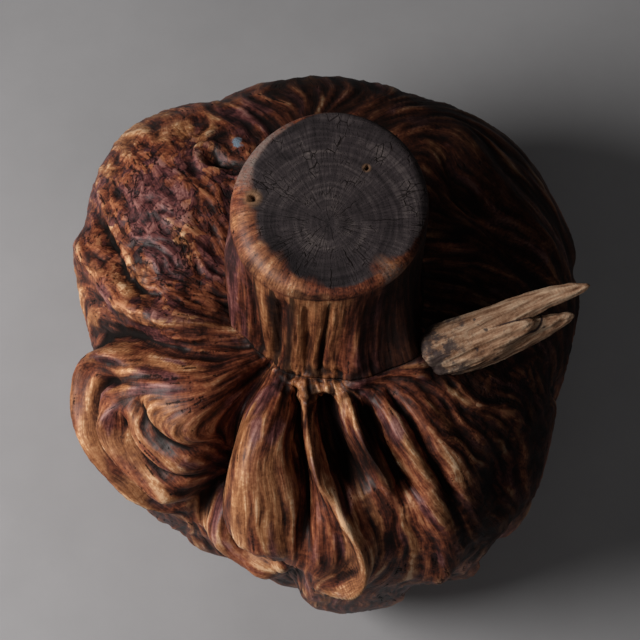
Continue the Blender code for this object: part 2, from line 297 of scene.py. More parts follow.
folds = [(globe_line(places), *sizes) for places, *sizes in FOLDS.values()]
for top, foot, bow, width, height in SIDE_FOLDS:
    folds.append((globe_line(bowed_line(top, foot, bow)), width, height, 0))
print(len(folds), "folds")


# %% [markdown]
# To raise a fold, every point of the globe finds the nearest point of the line. How far it lies across the
# line gives the bell's height, and how far along gives the fade at the two ends. All points are handled at
# once: one matrix product compares every point with every step of the line.


# %% Raising a fold
def nearest_on_line(aim, line):
    """Share along the line, and the offset across it, of each point's nearest place on the line."""
    last = len(line) - 1
    tangent = np.gradient(line, axis=0)
    step = np.linalg.norm(tangent, axis=-1)
    nearest = np.argmax(aim @ line.T, axis=1)
    offset = aim - line[nearest]
    past = np.sum(offset * tangent[nearest], -1) / step[nearest] ** 2
    place = np.clip(nearest + past, 0, last)
    return place / last, offset - tangent[nearest] * (place - nearest)[:, None], tangent[nearest]


def swollen_wood(azimuth, elevation):
    """Heart + aim times (globe radius + bells of swellings and folds - bell of the moat) + overhangs."""
    aim = direction(azimuth, elevation)
    radius = globe_radius(azimuth, elevation)
    raised = np.zeros_like(radius)
    pushed = np.zeros_like(aim)
    for at_azimuth, at_elevation, spread, height in SWELLINGS:
        away = np.linalg.norm(aim - direction(*np.radians((at_azimuth, at_elevation))), axis=-1)
        raised += height * MM * np.exp(-((away / np.radians(spread)) ** 2))
    for line, width, height, overhang in folds:
        share, across, _ = nearest_on_line(aim, line)
        across = across * (radius / (width * MM))[:, None]
        ends = smoothstep(share, -0.05, 0.2) * smoothstep(1 - share, -0.05, 0.2)
        bell = np.exp(-np.sum(across**2, -1)) * ends
        raised += bell * height * MM
        pushed += across * (bell * overhang * MM)[:, None]
    from_foot = (foot_elevation(azimuth) - elevation) * radius
    raised -= around(MOAT_DEPTH, azimuth) * MM * np.exp(-((from_foot / MOAT_WIDTH) ** 2))
    return HEART + aim * (radius + raised)[:, None] + pushed


# %% [markdown]
# ## The stub and the saw cuts
#
# A branch or stem left the burl here and was sawn off. Its face is flat in the middle, where the record of
# the solid model has a mount, and the edge is worn round. The wall is a cubic Bezier curve from that edge
# down into the moat, and flutes dent it. The saw cut below the burl is simply the plane z = 0: each meridian
# is followed down until it crosses that plane.

# %% The stub and the base
# each flute: azimuth, half width and depth in mm, lean in degrees from top to foot
FLUTES = (
    (242, 3.2, 3.2, -6),
    (256, 2.2, 2.4, 4),
    (269, 1.5, 2.5, 1),
    (192, 8, -4, 10),
    (215, 3, 2.5, 8),
    (298, 5, 1.5, 0),
    (330, 7, 2, 4),
    (20, 6, 2, -5),
    (75, 7, 2, 5),
    (140, 6, 2, -4),
)


RIM_TRIES = np.radians(np.linspace(-36, -72, 46))


def rim_elevation(azimuth):
    """Elevation at which each meridian crosses z = 0, between the first try below it and the one before."""
    tries = RIM_TRIES
    heights = np.array([swollen_wood(azimuth, np.full_like(azimuth, tried))[:, 2] for tried in tries])
    below = np.argmax(heights < 0, axis=0)
    column = np.arange(len(azimuth))
    high, low = heights[below - 1, column], heights[below, column]
    return tries[below - 1] + (tries[below] - tries[below - 1]) * high / (high - low)


def stub_face(azimuth, share):
    """A polar disc: flat from share 0 to 0.5, then reach + sin and drop 1 - cos of a quarter roll."""
    sideways = np.array((1, 0, 0))
    forwards = np.cross(STUB_FACE_NORMAL, sideways)
    outwards = np.cos(azimuth)[:, None] * sideways + np.sin(azimuth)[:, None] * forwards
    radius = around(STUB_RADIUS, azimuth) * MM
    flat = around(FLAT_SHARE, azimuth) * radius
    roll = np.clip(2 * share - 1, 0, 1) * TURN / 4
    reach = flat * np.clip(2 * share, 0, 1) + (radius - flat) * np.sin(roll)
    drop = (radius - flat) * EDGE_DROP * (1 - np.cos(roll))
    return STUB_FACE_MIDDLE + outwards * reach[:, None] - STUB_FACE_NORMAL * drop[:, None]


def stub_wall(azimuth, share, top, foot):
    """(1-t)^3 A + 3(1-t)^2 t B + 3(1-t) t^2 C + t^3 D from edge to foot, less the bells of the flutes."""
    axis = unit(STUB_FACE_MIDDLE - STUB_FOOT_MIDDLE)
    outwards = direction(azimuth, np.zeros_like(azimuth))
    length = np.linalg.norm(top - foot, axis=-1)[:, None]
    flare = (around(FOOT_FLARE, azimuth) * MM)[:, None]
    under_edge = top - axis * length * TOP_HANDLE
    over_foot = foot + axis * length * FOOT_HANDLE - outwards * flare
    t = share[:, None]
    curve = (1 - t) ** 3 * top + 3 * (1 - t) ** 2 * t * under_edge
    curve += 3 * (1 - t) * t**2 * over_foot + t**3 * foot
    reach = np.linalg.norm(curve[:, :2] - STUB_FOOT_MIDDLE[:2], axis=-1)
    dent = np.zeros_like(azimuth)
    for at_azimuth, width, depth, lean in FLUTES:
        turn = azimuth - np.radians(at_azimuth + lean * share)
        away = np.abs(np.angle(np.exp(1j * turn))) * reach
        dent += depth * MM * np.exp(-((away / (width * MM)) ** 2))
    ends = smoothstep(share, 0, 0.25) * smoothstep(1 - share, 0, 0.12)
    return curve - outwards * (dent * ends)[:, None]


# %% [markdown]
# ## One grid over the whole burl
#
# The skin is one grid: columns run around, rows run from the pith of the stub's face, over its edge, down
# its wall, through the moat, over the swollen wood and under to the middle of the base. Columns crowd
# together at the front and rows crowd near the stub, where the folds are fine. The `stretch` of a row says
# which of the four surfaces it belongs to.

# %% The grid
COLUMNS = 600
CROWDING, CROWDED_AZIMUTH = 0.5, np.radians(247)
ROWS = {"face": 44, "wall": 46, "swell": 150, "base": 5}
UPPER_CROWDING = 0.4

around_steps = np.arange(COLUMNS) * TURN / COLUMNS
column_azimuth = around_steps - CROWDING * np.sin(around_steps - CROWDED_AZIMUTH)
shares = {name: np.arange(1, count + 1) / count for name, count in ROWS.items()}
shares["face"] = np.concatenate((np.linspace(0, 0.5, 30)[1:], np.linspace(0.5, 1, 16)[1:]))
shares["swell"] = shares["swell"] * (1 - UPPER_CROWDING * (1 - shares["swell"]))
shares["base"] = shares["base"][:-1]
row_share = np.concatenate(list(shares.values()))
row_stretch = np.repeat(np.arange(4), [len(values) for values in shares.values()])
azimuth, share = (array.ravel() for array in np.meshgrid(column_azimuth, row_share))
stretch = np.repeat(row_stretch, COLUMNS)
on_face, on_wall, on_swell, on_base = (stretch == number for number in range(4))
GRID = (len(row_share), COLUMNS)
print("grid:", GRID, "=", 2 * GRID[0] * GRID[1], "triangles, shared by two meshes")


def build_skin():
    """The points of the whole grid, and the elevation of those on the swollen wood."""
    points = np.zeros((len(azimuth), 3))
    foot_up, rim_up = foot_elevation(column_azimuth), rim_elevation(column_azimuth)
    points[on_face] = stub_face(azimuth[on_face], share[on_face])
    tops = stub_face(column_azimuth, np.ones(COLUMNS))
    feet = swollen_wood(column_azimuth, foot_up)
    rows = on_wall.sum() // COLUMNS
    ends = np.tile(tops, (rows, 1)), np.tile(feet, (rows, 1))
    points[on_wall] = stub_wall(azimuth[on_wall], share[on_wall], *ends)
    elevation = np.tile(foot_up, GRID[0]) + np.tile(rim_up - foot_up, GRID[0]) * share
    points[on_swell] = swollen_wood(azimuth[on_swell], elevation[on_swell])
    rim = points[on_swell][-COLUMNS:]
    points[on_base] = np.tile(rim, (on_base.sum() // COLUMNS, 1)) * (1 - share[on_base])[:, None]
    points[on_base, 2] = 0
    return points, elevation


skin, elevation = build_skin()
print("skin, mm:", np.round(np.ptp(skin, axis=0) / MM, 1))

# %% [markdown]
# ## Which way the grain runs
#
# Wood fibres run down from the stub, along the ribs and around the hollows. A field of arrows on the globe
# says this: far from any fold they point down and lean one way or the other, and near a fold they follow its
# line. A few guide lines steer the plain ground between the folds, and noise turns the arrows a little, most
# on the wild left shoulder. On the stub's wall and face and on the base the arrows follow the rows.

# %% The grain's arrows
GUIDES = (
    [(228, 55), (219, 46), (209, 38), (202, 32), (196, 26)],
    [(224, 50), (214, 42), (206, 35), (201, 28)],
    [(180, 55), (170, 48), (159, 41), (148, 28), (140, 14)],
    [(153, 54), (141, 43), (132, 30), (127, 16)],
    [(60, 54), (56, 40), (38, 41), (19, 35), (2, 24), (348, 12)],
    [(95, 52), (84, 40), (57, 24), (41, 20), (20, 14), (4, 4)],
    [(345, 52), (338, 40), (333, 25), (328, 12), (321, -3)],
    [(322, 50), (323, 37), (327, 25), (325, 12), (319, -3)],
    [(20, 50), (8, 38), (352, 28), (342, 14), (338, -4)],
    [(110, 54), (104, 38), (112, 22), (106, 4), (112, -20)],
    [(78, 4), (66, -12), (74, -34)],
    [(150, -2), (162, -20), (152, -44)],
    [(30, -4), (44, -22), (34, -46)],
    [(256, 48), (256, 38), (258, 28), (259, 18)],
)
GUIDE_WIDTH = 9
PULL = 5


def near(aim, *spots):
    """The sum of strength times exp(-(distance / spread)^2) over round spots on the globe, up to 1."""
    mask = np.zeros(len(aim))
    for at_azimuth, at_elevation, spread, strength in spots:
        away = np.linalg.norm(aim - direction(*np.radians((at_azimuth, at_elevation))), axis=-1)
        mask += strength * np.exp(-((away / np.radians(spread)) ** 2))
    return np.clip(mask, 0, 1)


# each wild place: azimuth, elevation, spread in degrees, strength
WILD = (
    (155, 30, 24, 1), (180, 42, 14, 0.8), (130, 40, 16, 0.8),
    (330, 25, 26, 0.7), (0, 30, 30, 0.4), (300, 0, 20, 0.5),
)


def arrows_at(turned, raised):
    """Unit arrows on the globe: the lean of plain ground, blended into the folds' and guides' tangents."""
    aim = direction(turned, raised)
    south = direction(turned, raised - TURN / 4)
    east = np.cross(south, aim)
    lean = rough_noise(aim * 1.7, 3) * 1.5 + soft_noise(aim * 5, 5) * 0.8
    lean *= smoothstep(np.radians(58) - raised, 0, 0.6)
    arrows = south * np.cos(lean)[:, None] + east * np.sin(lean)[:, None]
    lines = [(line, width) for line, width, *_ in folds]
    lines += [(globe_line(places), GUIDE_WIDTH) for places in GUIDES]
    for line, width in lines:
        share_along, across, tangent = nearest_on_line(aim, line)
        ends = smoothstep(share_along, -0.02, 0.08) * smoothstep(1 - share_along, -0.02, 0.08)
        pull = np.exp(-np.sum(across**2, -1) / np.radians(3 + 0.55 * width) ** 2) * ends
        arrows += unit(tangent) * (PULL * pull)[:, None]
    arrows = unit(arrows - aim * np.sum(arrows * aim, -1, keepdims=True))
    wild = near(aim, *WILD)
    turn = (0.25 + 0.6 * wild) * rough_noise(aim * 7, 13) * 1.6 + 0.7 * wild * soft_noise(aim * 17, 14)
    return arrows * np.cos(turn)[:, None] + np.cross(aim, arrows) * np.sin(turn)[:, None]


# %% [markdown]
# An arrow is wanted as steps over the grid: so many columns and so many rows to go one metre along the
# grain. Two neighbours give the sides of a grid cell on the globe, and solving a 2 by 2 system for every
# point at once splits its arrow into those sides.


# %% Arrows as grid steps
def grid_steps(values):
    """Differences down the rows and around the columns of a grid that closes on itself sideways."""
    down = np.gradient(values, axis=0)
    sideways = (np.roll(values, -1, axis=1) - np.roll(values, 1, axis=1)) / 2
    return down, sideways


def dot(a, b):
    """Row by row dot product."""
    return np.sum(a * b, -1)


def grain_steps(points):
    """(rows, columns) per metre along the grain at each grid point."""
    rows, columns = np.ones(GRID), np.zeros(GRID)
    swell = np.flatnonzero(row_stretch == 2)
    turned = azimuth.reshape(GRID)[swell]
    raised = elevation.reshape(GRID)[swell]
    aim = direction(turned, raised)
    arrow = arrows_at(turned.ravel(), raised.ravel()).reshape(aim.shape)
    down, sideways = grid_steps(aim)
    dd, ss, ds = dot(down, down), dot(sideways, sideways), dot(down, sideways)
    da, sa = dot(down, arrow), dot(sideways, arrow)
    whole = dd * ss - ds**2
    rows[swell] = (da * ss - sa * ds) / whole
    columns[swell] = (sa * dd - da * ds) / whole
    down, sideways = grid_steps(points)
    metres = np.linalg.norm(down * rows[..., None] + sideways * columns[..., None], axis=-1)
    return rows / metres, columns / metres


skin_grid = skin.reshape(*GRID, 3)
grain_rows, grain_columns = grain_steps(skin_grid)
print("arrows on", grain_rows.size, "points")

# %% [markdown]
# ## Streaks
#
# Streaks come from smearing: each point walks a short way up and down the grain and averages the noise that
# it meets. Points that share a fibre meet the same noise, so they get the same value, and the noise is drawn
# out into streaks that follow every bend. The noise keeps its own size across the grain.


# %% Smearing along the grain
def read_grid(values, row, column):
    """The grid's values at places between its points, blended from the four nearest."""
    row = np.clip(row, 0, GRID[0] - 1.001)
    top, left = row.astype(int), np.floor(column).astype(int)
    f, g = row - top, column - left
    left, right = left % COLUMNS, (left + 1) % COLUMNS
    upper = values[top, left] * (1 - g) + values[top, right] * g
    lower = values[top + 1, left] * (1 - g) + values[top + 1, right] * g
    return upper * (1 - f) + lower * f


def smear(values, reach, stride):
    """Mean of the values met within reach of each point along the grain, with its spread kept."""
    start_row, start_column = (array.astype(float) for array in np.indices(GRID))
    total, weights = values.copy(), 1.0
    for way in (stride, -stride):
        row, column = start_row.copy(), start_column.copy()
        for step in range(1, int(reach / stride) + 1):
            down, sideways = read_grid(grain_rows, row, column), read_grid(grain_columns, row, column)
            row, column = row + way * down, column + way * sideways
            weight = 0.5 + 0.5 * np.cos(np.pi * step * stride / reach)
            total += weight * read_grid(values, row, column)
            weights += weight
    total /= weights
    return total * (values.std() / total.std())


STREAK_SPREAD = 0.25


def streaks(width, reach, seed):
    """Noise of the given width, smeared along the grain, about 0 with a standard deviation of a quarter."""
    bumps = soft_noise(skin / width, seed).reshape(GRID)
    drawn = smear(bumps, reach, width * 0.7).ravel()
    return (drawn - drawn.mean()) * (STREAK_SPREAD / drawn.std())


broad = streaks(7 * MM, 30 * MM, 7)
medium = streaks(3.4 * MM, 15 * MM, 8)
narrow = streaks(1.7 * MM, 8 * MM, 9)
pale_streaks = streaks(8 * MM, 22 * MM, 17)
purple_streaks = streaks(6.5 * MM, 16 * MM, 18)
rust_streaks = streaks(4 * MM, 12 * MM, 19)
print("streaks from", broad.min().round(2), "to", broad.max().round(2))

# %% [markdown]
# ## Relief too small for the folds
#
# Washed and brushed burl wood is never smooth: soft wood wears away between hard streaks. The streaks give
# the ripples. How strong they are changes from place to place: the fat clove in front is nearly smooth, the
# left shoulder is flaky, and the collar round the stub's foot is knobbly.


# %% Regions
def region(*spots):
    """The mask of round globe spots at every grid point."""
    return near(unit(skin - HEART), *spots)


smooth_ground = region(
    (247, 34, 13, 1), (250, 22, 10, 0.8), (205, 10, 10, 0.5), (192, 22, 8, 0.5), (225, 34, 8, 0.3)
)
flaky_ground = region(*WILD)
left_shoulder = region((152, 34, 24, 1), (172, 40, 14, 0.7))
row_gaps = np.linalg.norm(np.diff(skin_grid, axis=0), axis=-1)
run = np.vstack((np.zeros(COLUMNS), np.cumsum(row_gaps, axis=0)))
foot_row = np.flatnonzero(row_stretch == 1)[-1]
below_foot = (run - run[foot_row]).ravel()
collar = smoothstep(np.abs(below_foot - 3 * MM), 14 * MM, 6 * MM) * region((262, 57, 17, 1.3)) * ~on_face
print("collar:", int((collar > 0.5).sum()), "points")

# %% [markdown]
# Displacing a mesh means moving its points along their normals. In a deep crease the normals of both sides
# cross, and points moved along them would tangle, so the normals come from a blurred copy of the grid. The
# depth is a sum: ripples from the streaks, broad wobble, flakes, knobs round the stub's foot and worm holes.


# %% Ripples, flakes and knobs
def grid_normals(points):
    """Unit normals of a grid of points, pointing outwards."""
    down, sideways = grid_steps(points)
    return unit(np.cross(down, sideways))


def blur(values, times):
    """The grid's values averaged with their four neighbours, again and again."""
    for _ in range(times):
        padded = np.concatenate((values[:1], values, values[-1:]))
        up_down = (padded[:-2] + padded[2:]) / 2
        sides = (np.roll(values, 1, axis=1) + np.roll(values, -1, axis=1)) / 2
        values = (2 * values + up_down + sides) / 4
    return values


NORMAL_BLUR = 8


def carve(points, depth):
    """The grid's points plus depth times the normals of a slightly blurred grid."""
    normals = grid_normals(blur(points.reshape(*GRID, 3), NORMAL_BLUR)).reshape(-1, 3)
    return points + normals * depth[:, None]


# each worm hole: place in mm, radius in mm
WORM_HOLES = (((-29.9, 16.8, 225), 1.7), ((19.8, 30.7, 226.2), 0.8))
HOLE_DEPTH = 4 * MM
wobble = rough_noise(skin / (9 * MM), 21)
flakes = smear(np.abs(rough_noise(skin / (6 * MM), 33)).reshape(GRID), 5 * MM, 1 * MM).ravel()
knobs = soft_noise(skin / (5.5 * MM), 41) + 0.5 * soft_noise(skin / (2.6 * MM), 42)
ripple = broad * 1.0 + medium * 0.9 + narrow * 0.45
depth = on_swell * (1 - 0.72 * smooth_ground) * (ripple + 0.4 * wobble) * MM
depth += on_swell * flaky_ground * (0.7 * wobble - 1.7 * (flakes - 0.25)) * MM
depth += collar * (0.6 + 1.3 * knobs + 1.4 * wobble) * MM
depth += on_wall * (0.4 * broad + 0.4 * medium + 0.3 * narrow) * smoothstep(share, 0, 0.15) * MM
depth *= np.where(on_swell, smoothstep(1 - share, 0, 0.04), 1)
for place, radius in WORM_HOLES:
    away = np.linalg.norm(skin - np.array(place) * MM, axis=-1) / MM
    depth -= on_face * smoothstep(away, radius * 1.15, radius * 0.75) * HOLE_DEPTH
relief = carve(skin, depth)
print("ripples, mm:", np.percentile(depth / MM, (1, 99)).round(2))

# %% [markdown]
# ## Hollows and ridges as numbers
#
# The shaders paint shade into the hollows, darkening them towards black, and leave the ridges lighter and
# oiled. Blurring the grid shows which is which: where the blurred surface lies outside the real one there is
# a hollow, and where it lies inside a ridge.
# Three amounts of blur find creases, grooves and valleys.


# %% Hollows
CREASE_BLUR, GROOVE_BLUR, VALLEY_BLUR = 3, 24, 200


def hollow_by(points, times, scale):
    """How deep each point lies under the blurred surface: their gap along the normal, over scale."""
    grid = points.reshape(*GRID, 3)
    soft = blur(grid, times)
    return (dot(soft - grid, grid_normals(grid)) / scale).ravel()


crease = hollow_by(relief, CREASE_BLUR, 0.25 * MM)
groove = hollow_by(relief, GROOVE_BLUR, 1.2 * MM)
valley = hollow_by(relief, VALLEY_BLUR, 5 * MM)
# the hollow map: the shaders paint shade from it, darkest in deep creases and valleys
hollow = np.tanh(0.25 * crease + 0.45 * groove + 0.9 * valley)
down, sideways = grid_steps(relief.reshape(*GRID, 3))
fibre = unit(down * grain_rows[..., None] + sideways * grain_columns[..., None]).reshape(-1, 3)
print("hollow share:", np.mean(hollow > 0.5).round(3))


# %% [markdown]
# ## Where the wood is pale, purple or black
#
# Heartwood here runs from honey and cream on the polished rolls, through rust, to plum and slate where iron
# and water stained it. Black is mostly painted shade: on the side turned away from the window light, in the
# pockets and valleys, in the trench beside the stub and round the twig's root, and two purple spots in the
# ear paint purple shade. The shader decides the fine pattern, so all it needs is a gentle push: three numbers
# per point that say how likely pale, purple and black are.
# Each spot is an azimuth, an elevation, a spread in degrees and a strength. On the stub's wall the masks go
# by azimuth only, and its flutes are painted black as shade.

# %% Colour regions
PALE_SPOTS = (
    (314, 54, 2, 0.8), (309, 52, 2, 0.5), (247, 34, 10, 0.9), (251, 22, 9, 0.9), (244, 44, 6, 0.4),
    (203, 28, 5, 0.7), (216, 28, 6, 0.8), (222, 32, 5, 0.5), (192, 22, 6, 0.6), (199, 14, 6, 0.8),
    (210, 11, 6, 0.8), (222, 7, 6, 0.8), (231, 0, 6, 0.6), (214, 17, 4, 0.6), (170, 9, 7, 0.9),
    (160, 22, 5, 0.6), (170, 27, 5, 0.6), (127, 27, 4, 1.0), (132, 17, 5, 0.7), (125, 34, 2.2, 1.0),
    (158, 42, 4, 0.6), (174, 33, 5, 0.7), (182, 34, 5, 0.5), (277, 13, 6, 0.9), (250, 4, 8, 0.5),
    (240, 4, 6, 0.4), (274, 34, 3.5, 0.7), (278, 26, 3.5, 0.8), (281, 18, 4, 0.9), (298, 32, 5, 0.5),
    (300, 22, 5, 0.5), (266, -9, 8, 0.6), (286, 4, 6, 0.6), (320, 23, 2.2, 1.2), (318, 38, 4, 0.4),
    (262, 58, 9, 0.9), (276, 55, 7, 0.8), (91, 30, 4, 0.3), (140, 20, 6, 0.4),
)
# two purple spots in the ear's folds, at (201, 21) and (212, 37), paint purple shade; the rest mark plum
# stain
PURPLE_SPOTS = (
    (244, 46, 5, 0.5), (252, 44, 3, 0.6), (241, 26, 4, 0.4), (257, 20, 4, 0.4), (152, 34, 20, 0.30),
    (165, 40, 7, 0.6), (150, 38, 6, 0.7), (140, 31, 5, 0.4), (153, 33, 5, 0.5), (127, 36, 3.5, 0.8),
    (110, 28, 5, 0.7), (121, 32, 3, 0.6), (201, 21, 4, 0.6), (212, 37, 3.5, 0.8), (206, 33, 4, 0.5),
    (243, 9, 5, 0.7), (247, 51, 4, 0.5), (268, 0, 6, 0.5), (324, 53, 6, 0.8), (290, 55, 5, 0.6),
    (283, 44, 4, 0.4), (190, 38, 6, 0.5), (180, 26, 5, 0.4), (298, 43, 4, 0.5), (345, 30, 10, 0.4),
    (150, 10, 8, 0.4),
)
# painted shade: the right and back, away from the light, the pockets, valleys, the trench by the stub and the
# twig's root
SHADE_SPOTS = (
    (318, 20, 15, 0.35), (335, 30, 14, 0.4), (305, 10, 10, 0.3), (95, 24, 10, 0.4), (272, 47, 4, 1.0),
    (275, 40, 4, 1.0), (278, 33, 4, 0.9), (290, 42, 4, 0.9), (292, 34, 4, 0.8), (283, 38, 4, 0.5),
    (235, 44, 3, 0.8), (238, 30, 3, 0.8), (261, 45, 2.5, 0.8), (265, 34, 2.5, 0.7), (254, 26, 2, 0.5),
    (246, 18, 3, 0.4), (120.5, 32, 2.4, 1.2), (95, 19, 6, 0.7), (175, 55, 8, 0.7), (198, 54, 8, 0.7),
    (326, 49, 6, 0.8), (20, 38, 34, 0.85), (62, 40, 26, 0.85), (350, 26, 24, 0.7), (100, 48, 16, 0.7),
    (30, 0, 40, 0.6), (80, 5, 20, 0.4), (312, 16, 12, 0.6), (312, 0, 16, 0.6), (236, 18, 5, 0.7),
    (237, 4, 5, 0.7), (265, 26, 3, 0.6), (280, 38, 6, 0.6),
)
BLUE_STAIN = (116.7, 35.7, 1.7, 1.0)


def by_azimuth(*bumps):
    """The sum of strength times exp(-(angle / half width)^2) over bumps at (azimuth, width, strength)."""
    mask = np.zeros(len(azimuth))
    for at_azimuth, width, strength in bumps:
        away = np.abs(np.angle(np.exp(1j * (azimuth - np.radians(at_azimuth)))))
        mask += strength * np.exp(-((away / np.radians(width)) ** 2))
    return mask


gouge = soft_noise(np.column_stack((azimuth * 14, share * 3, share * 0)), 63)
# painted shade: the flutes down the wall's front go black, one narrow flute along a crack
flute_shade = on_wall * by_azimuth((236, 4, 1.3), (247, 3, 1.3), (222, 3, 0.9), (269, 1.5, 1.7))
flute_shade *= smoothstep(share + 0.35 * gouge, 0.03, 0.12)
pale_wall = by_azimuth((228, 10, 0.8), (258, 14, 1.1), (276, 8, 0.6))
purple_wall = by_azimuth((203, 14, 0.5), (180, 20, 0.5), (300, 10, 0.3))
# painted shade on the wall: at the right and back, away from the light, in the trench at its left, and in the
# flutes
wall_shade = by_azimuth((320, 32, 1.0), (20, 50, 0.9), (90, 40, 0.7), (193, 7, 0.5)) + flute_shade
pale = np.where(on_wall, pale_wall, region(*PALE_SPOTS))
purple = np.where(on_wall, purple_wall, region(*PURPLE_SPOTS))
dark = np.where(on_wall, wall_shade, region(*SHADE_SPOTS))
print("pale, purple, dark shares:", [float(mask.mean().round(3)) for mask in (pale, purple, dark)])

# %% [markdown]
# The stub's worn edge has its own regions: honey where hands and tools rounded it at the left, in front and
# at the front right, ash grey at the back left and the front right, brown low down in front, and painted
# shade on the right and at the back, away from the light. `sawn` is 1 on the flat end grain and fades out
# where
# `slate_reach` says the grey ends.

# %% The sawn face
edge_wander = 0.5 * soft_noise(skin / (11 * MM), 61) + 0.25 * soft_noise(skin / (4 * MM), 62)
slate_bumps = (20, 55, 0.32), (75, 40, 0.2), (312, 14, -0.17), (225, 40, -0.04), (150, 20, 0.06)
slate_reach = 0.60 + by_azimuth(*slate_bumps)
sawn = on_face * smoothstep(slate_reach - share + 0.13 * edge_wander, 0, 0.09)
honey_edge = on_face * by_azimuth((205, 26, 1), (240, 26, 0.8), (312, 13, 1.7)) * (1 + 0.7 * edge_wander)
ash_edge = on_face * by_azimuth((150, 28, 1), (120, 16, 0.5), (310, 14, 0.75))
slate_band = on_face * by_azimuth((235, 45, 1)) * np.exp(-(((share - 0.46) / 0.1) ** 2))
brown_band = on_face * by_azimuth((262, 26, 0.9), (215, 8, 0.5))
brown_band *= smoothstep(share + 0.3 * edge_wander, 0.72, 0.84)
pale = np.where(on_face, 0.42 * honey_edge, pale) + 0.35 * collar
purple = np.where(on_face, 0.3 * ash_edge, purple)
# painted shade on the face's edge at the right and back, plus the brown band low in front
dark = np.where(on_face, by_azimuth((20, 45, 0.9), (75, 30, 0.6), (345, 25, 0.7)) + 0.9 * brown_band, dark)
dark += 0.9 * collar * smoothstep(soft_noise(skin / (7 * MM), 64), -0.1, 0.3)
print("flat end grain:", int(sawn.sum()), "points")

# %% [markdown]
# ## Two closed meshes from one grid
#
# The grid is cut at the ring where the stub meets the burl, and both pieces keep that ring, so no gap shows.
# Each piece is closed at its two ends by a fan of triangles around a pole. The maps worked out so far ride
# along as attributes on the mesh's points, where the shaders can read them by name.


# %% Build the burl and its stub
def close_grid(name, rings, top, bottom):
    """A closed mesh from rings of points and two poles."""
    count, columns = rings.shape[:2]
    here = np.arange(columns)
    after = np.roll(here, -1)
    base = np.arange(count - 1)[:, None] * columns
    quads = (base + here, base + columns + here, base + columns + after, base + after)
    quads = np.stack(quads, -1).reshape(-1, 4)
    first, last, end = count * columns, count * columns + 1, (count - 1) * columns
    cap = np.column_stack((np.full(columns, first), here, after))
    keel = np.column_stack((np.full(columns, last), end + after, end + here))
    mesh = bpy.data.meshes.new(name)
    points = np.vstack((rings.reshape(-1, 3), top, bottom))
    mesh.from_pydata(points.tolist(), [], quads.tolist() + cap.tolist() + keel.tolist())
    mesh.shade_smooth()
    made = bpy.data.objects.new(name, mesh)
    bpy.context.scene.collection.objects.link(made)
    return made


def store(thing, name, values):
    """An attribute on the mesh's points: one number each, or three."""
    values = np.asarray(values, np.float32)
    kind = "FLOAT_VECTOR" if values.ndim == 2 else "FLOAT"
    attribute = thing.data.attributes.new(name, kind, "POINT")
    attribute.data.foreach_set("vector" if kind == "FLOAT_VECTOR" else "value", values.ravel())


def on_rows(values, rows):
    """The values on some rows of the grid, with the means of the first and last row for the poles."""
    part = values.reshape(*GRID, -1)[rows]
    whole = np.vstack((part.reshape(-1, part.shape[-1]), part[0].mean(0), part[-1].mean(0)))
    return whole if whole.shape[1] > 1 else whole[:, 0]


calm = np.where(on_face, 0.4, np.where(on_wall, 0.55, 1 - 0.15 * smooth_ground - 0.4 * left_shoulder))
MAPS = {
    "fibre": fibre,
    "streaks": np.column_stack((broad, medium, narrow)) * calm[:, None],
    "patches": np.column_stack((pale_streaks, purple_streaks, rust_streaks)) * calm[:, None],
    "tint": np.column_stack((pale, purple, dark)),
    "hollow": hollow,
    "sawn": np.column_stack((sawn, slate_band, ash_edge)),
    "extra": np.column_stack((flaky_ground, region(BLUE_STAIN), on_face)),
}
rings = relief.reshape(*GRID, 3)
# how far each hidden pole lies inside the other piece
INSIDE = np.array((0, 0, 6 * MM))


def build_part(name, rows, top, bottom):
    """One closed mesh from a slice of the grid's rows, carrying every map."""
    made = close_grid(name, rings[rows], top, bottom)
    for map_name, values in MAPS.items():
        store(made, map_name, on_rows(values, rows))
    print(name + ":", len(made.data.polygons), "faces")
    return made


stub = build_part("sawn_stub", slice(0, foot_row + 1), STUB_FACE_MIDDLE, STUB_FOOT_MIDDLE - INSIDE)
burl = build_part("swollen_burl", slice(foot_row, None), STUB_FOOT_MIDDLE + INSIDE, (0, 0, 0))

# %% [markdown]
# ## The broken twig
#
# The twig snapped off long ago and split along its fibres, so it ends in splinters of different lengths. Each
# splinter is a profile carried along a curved path: an uneven ring that gets smaller and closes in a blunt
# tip. The splinters overlap, so a Remesh modifier turns them into one skin, and stretched noise then cuts the
# fibre grooves into it.

# %% The splinters
# each splinter: its path in mm, its radius in mm at the root and at the tip
SPLINTERS = {
    "shaft": ([(46, -31, 160.5), (62, -29, 166), (78, -26, 171.5), (94, -22.5, 177)], 12.8, 5.5),
    "long_upper": ([(48, -30, 162), (70, -24, 173), (95, -16, 184.5), (119.5, -11.5, 195)], 10.5, 2.4),
    "long_lower": ([(48, -31, 161), (74, -29, 168.5), (96, -24.5, 175), (114, -19.5, 180)], 10.5, 1.8),
    "short_upper": ([(50, -31, 164), (68, -30, 172), (83, -27.5, 179), (95.5, -24.5, 184)], 9.5, 2.0),
    "short_lower": ([(50, -33, 162), (64, -34, 167), (75, -33.5, 171.5), (84, -32.5, 175.5)], 9, 1.8),
}
SPLINTER_RINGS, SPLINTER_SIDES = 60, 40
TWIG_AXIS = unit(np.array((74, 21, 36)))
VOXEL = 0.42 * MM
TIP_START, HEEL_END = 0.88, 0.13


